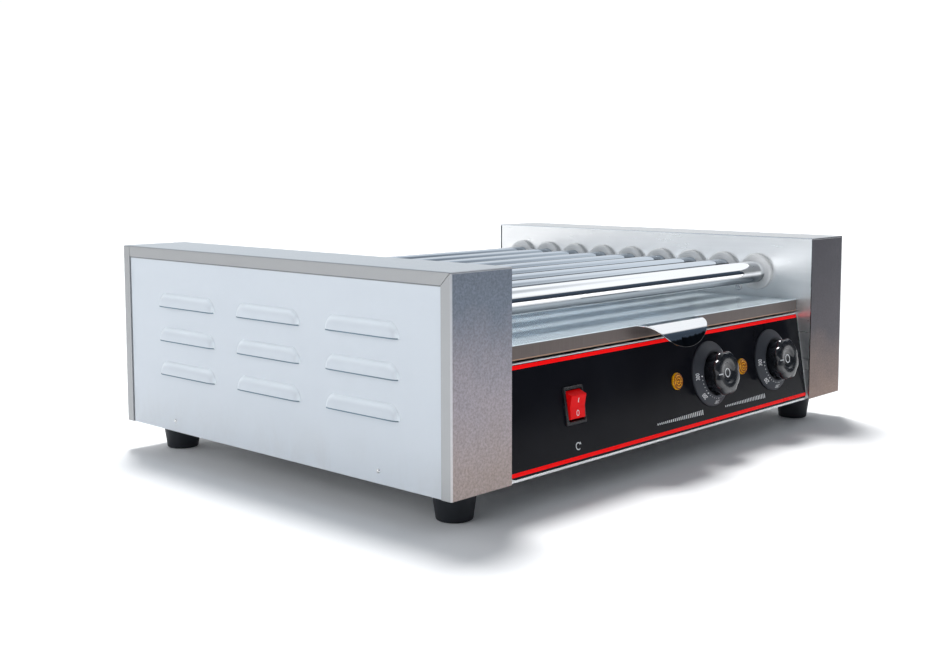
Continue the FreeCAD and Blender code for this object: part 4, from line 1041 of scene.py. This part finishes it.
# ------------------------------------------------------------------ tray handle, feet, fasteners
def make_handle():
    """Bright tongue with a half-round outline, bent down over the tray's edge."""
    low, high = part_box("tray_handle")
    centre_x = (low.x + high.x) / 2
    half_w = (high.x - low.x) / 2
    bend_r = 14.0 * MM
    bend = math.radians(70)
    thick = 1.2 * MM
    top = high.z
    flat_end = high.y - 8.0 * MM
    root = high.y
    reach = 37.0 * MM

    def point(run, depth):
        """(y, z) at a distance along the blank from the tray's face."""
        flat = root - flat_end
        r = bend_r - depth
        if run <= flat:
            return root - run, top - depth
        angle = min((run - flat) / bend_r, bend)
        extra = max(0.0, run - flat - bend_r * bend)
        y = flat_end - r * math.sin(angle) - extra * math.cos(bend)
        z = top - bend_r + r * math.cos(angle) - extra * math.sin(bend)
        return y, z

    columns, rows = 72, 40
    verts, faces = [], []
    soft = 0.45 * MM
    layers = [(0.0, soft), (soft * 0.3, soft * 0.3), (thick / 2, 0.0), (thick - soft * 0.3, soft * 0.3),
              (thick, soft)]
    for depth, inset in layers:
        for i in range(columns + 1):
            turn = math.pi * i / columns
            across = math.cos(turn)
            x = centre_x - (half_w - inset) * math.copysign(abs(across) ** 1.0, across)
            edge = 2 * MM + (reach - 2 * MM - inset) * math.sin(turn) ** 1.1
            for j in range(rows + 1):
                y, z = point(edge * j / rows, depth)
                verts.append(Vector((x, y, z)))
    step = rows + 1
    layer = (columns + 1) * step
    for i in range(columns):
        for j in range(rows):
            a = i * step + j
            faces.append((a, a + 1, a + step + 1, a + step))
            b = a + (len(layers) - 1) * layer
            faces.append((b, b + step, b + step + 1, b + 1))
    for k in range(len(layers) - 1):
        base = k * layer
        for i in range(columns):
            for j in (0, rows):
                a = base + i * step + j
                faces.append((a, a + step, a + step + layer, a + layer))
        for i in (0, columns):
            for j in range(rows):
                a = base + i * step + j
                faces.append((a, a + 1, a + 1 + layer, a + layer))
    handle = build("handle_tongue", verts, faces, "handle", "tray", 45)
    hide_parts("tray_handle")


def make_feet():
    """Tapered rubber feet with a moulded rim at the top and a recess below."""
    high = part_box("rubber_feet")[1]
    tall = high.z / MM
    profile = [(6.5, 0.0), (14.0, 0.0), (17.2, tall - 3.0), (18.0, tall - 2.4), (18.0, tall),
               (2.5, tall), (2.5, 8.0), (6.5, 8.0)]
    outline = rounded([(r * MM, h * MM) for r, h in profile],
                      [0.3 * MM, 1.6 * MM, 0.4 * MM, 0.4 * MM, 0.2 * MM, 0, 0.2 * MM, 0.2 * MM], 5)
    parts = []
    for sx in (-1, 1):
        for sy in (-1, 1):
            place = Matrix.Translation((sx * (high.x - 18 * MM), sy * (high.y - 18 * MM), 0))
            parts.append(turned(outline, 72, place))
    verts, faces = joined(parts)
    feet = build("feet", verts, faces, "rubber", "frame", 40)
    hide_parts("rubber_feet")


# ------------------------------------------------------------------ carried-over CAD nodes
NODE_MATERIALS = {
    "left_housing_cover": "left_cover", "right_housing_cover": "right_cover",
    "left_inner_plate": "inner", "right_inner_plate": "inner", "control_panel": "sheet",
    "rear_panel": "sheet", "tray_runners": "sheet", "drip_tray": "tray", "base_pan": "zinc",
    "deck_plate": "zinc", "element_carrier": "zinc", "motor_bracket": "zinc",
    "tensioner_bracket": "zinc", "panel_overlay": "overlay", "gear_motor": "motor",
    "gearbox": "cast", "drive_chain": "oiled", "drive_sprocket": "oiled",
    "idler_sprocket": "oiled", "drive_shaft": "bright", "left_knob_shaft": "bright",
    "right_knob_shaft": "bright", "foot_screws": "bright", "plate_screws": "bright",
    "cover_rivets": "bright", "heating_elements": "element", "lamp_bodies": "ivory",
    "thermostats": "ivory", "terminal_block": "ivory", "cable_gland": "gland",
}
NODE_MATERIALS.update({"sprocket_%d" % i: "oiled" for i in range(1, 10)})


def dress_nodes():
    """Give every CAD node that stays in view its material."""
    for node, material in NODE_MATERIALS.items():
        for material_slot in NODES[node].material_slots:
            material_slot.material = MATERIALS[material]


MATERIALS = make_materials()
make_camera()
make_studio()
dress_nodes()
make_rollers()
make_bushings()
make_side_panel(-1, "left_side_panel")
make_side_panel(1, "right_side_panel")
make_switch()
make_lamps()
for control_side in CONTROL_SIDES:
    make_dial(control_side)
    make_knob(control_side)
make_print()
make_handle()
make_feet()

bpy.context.scene.view_settings.view_transform = "Standard"
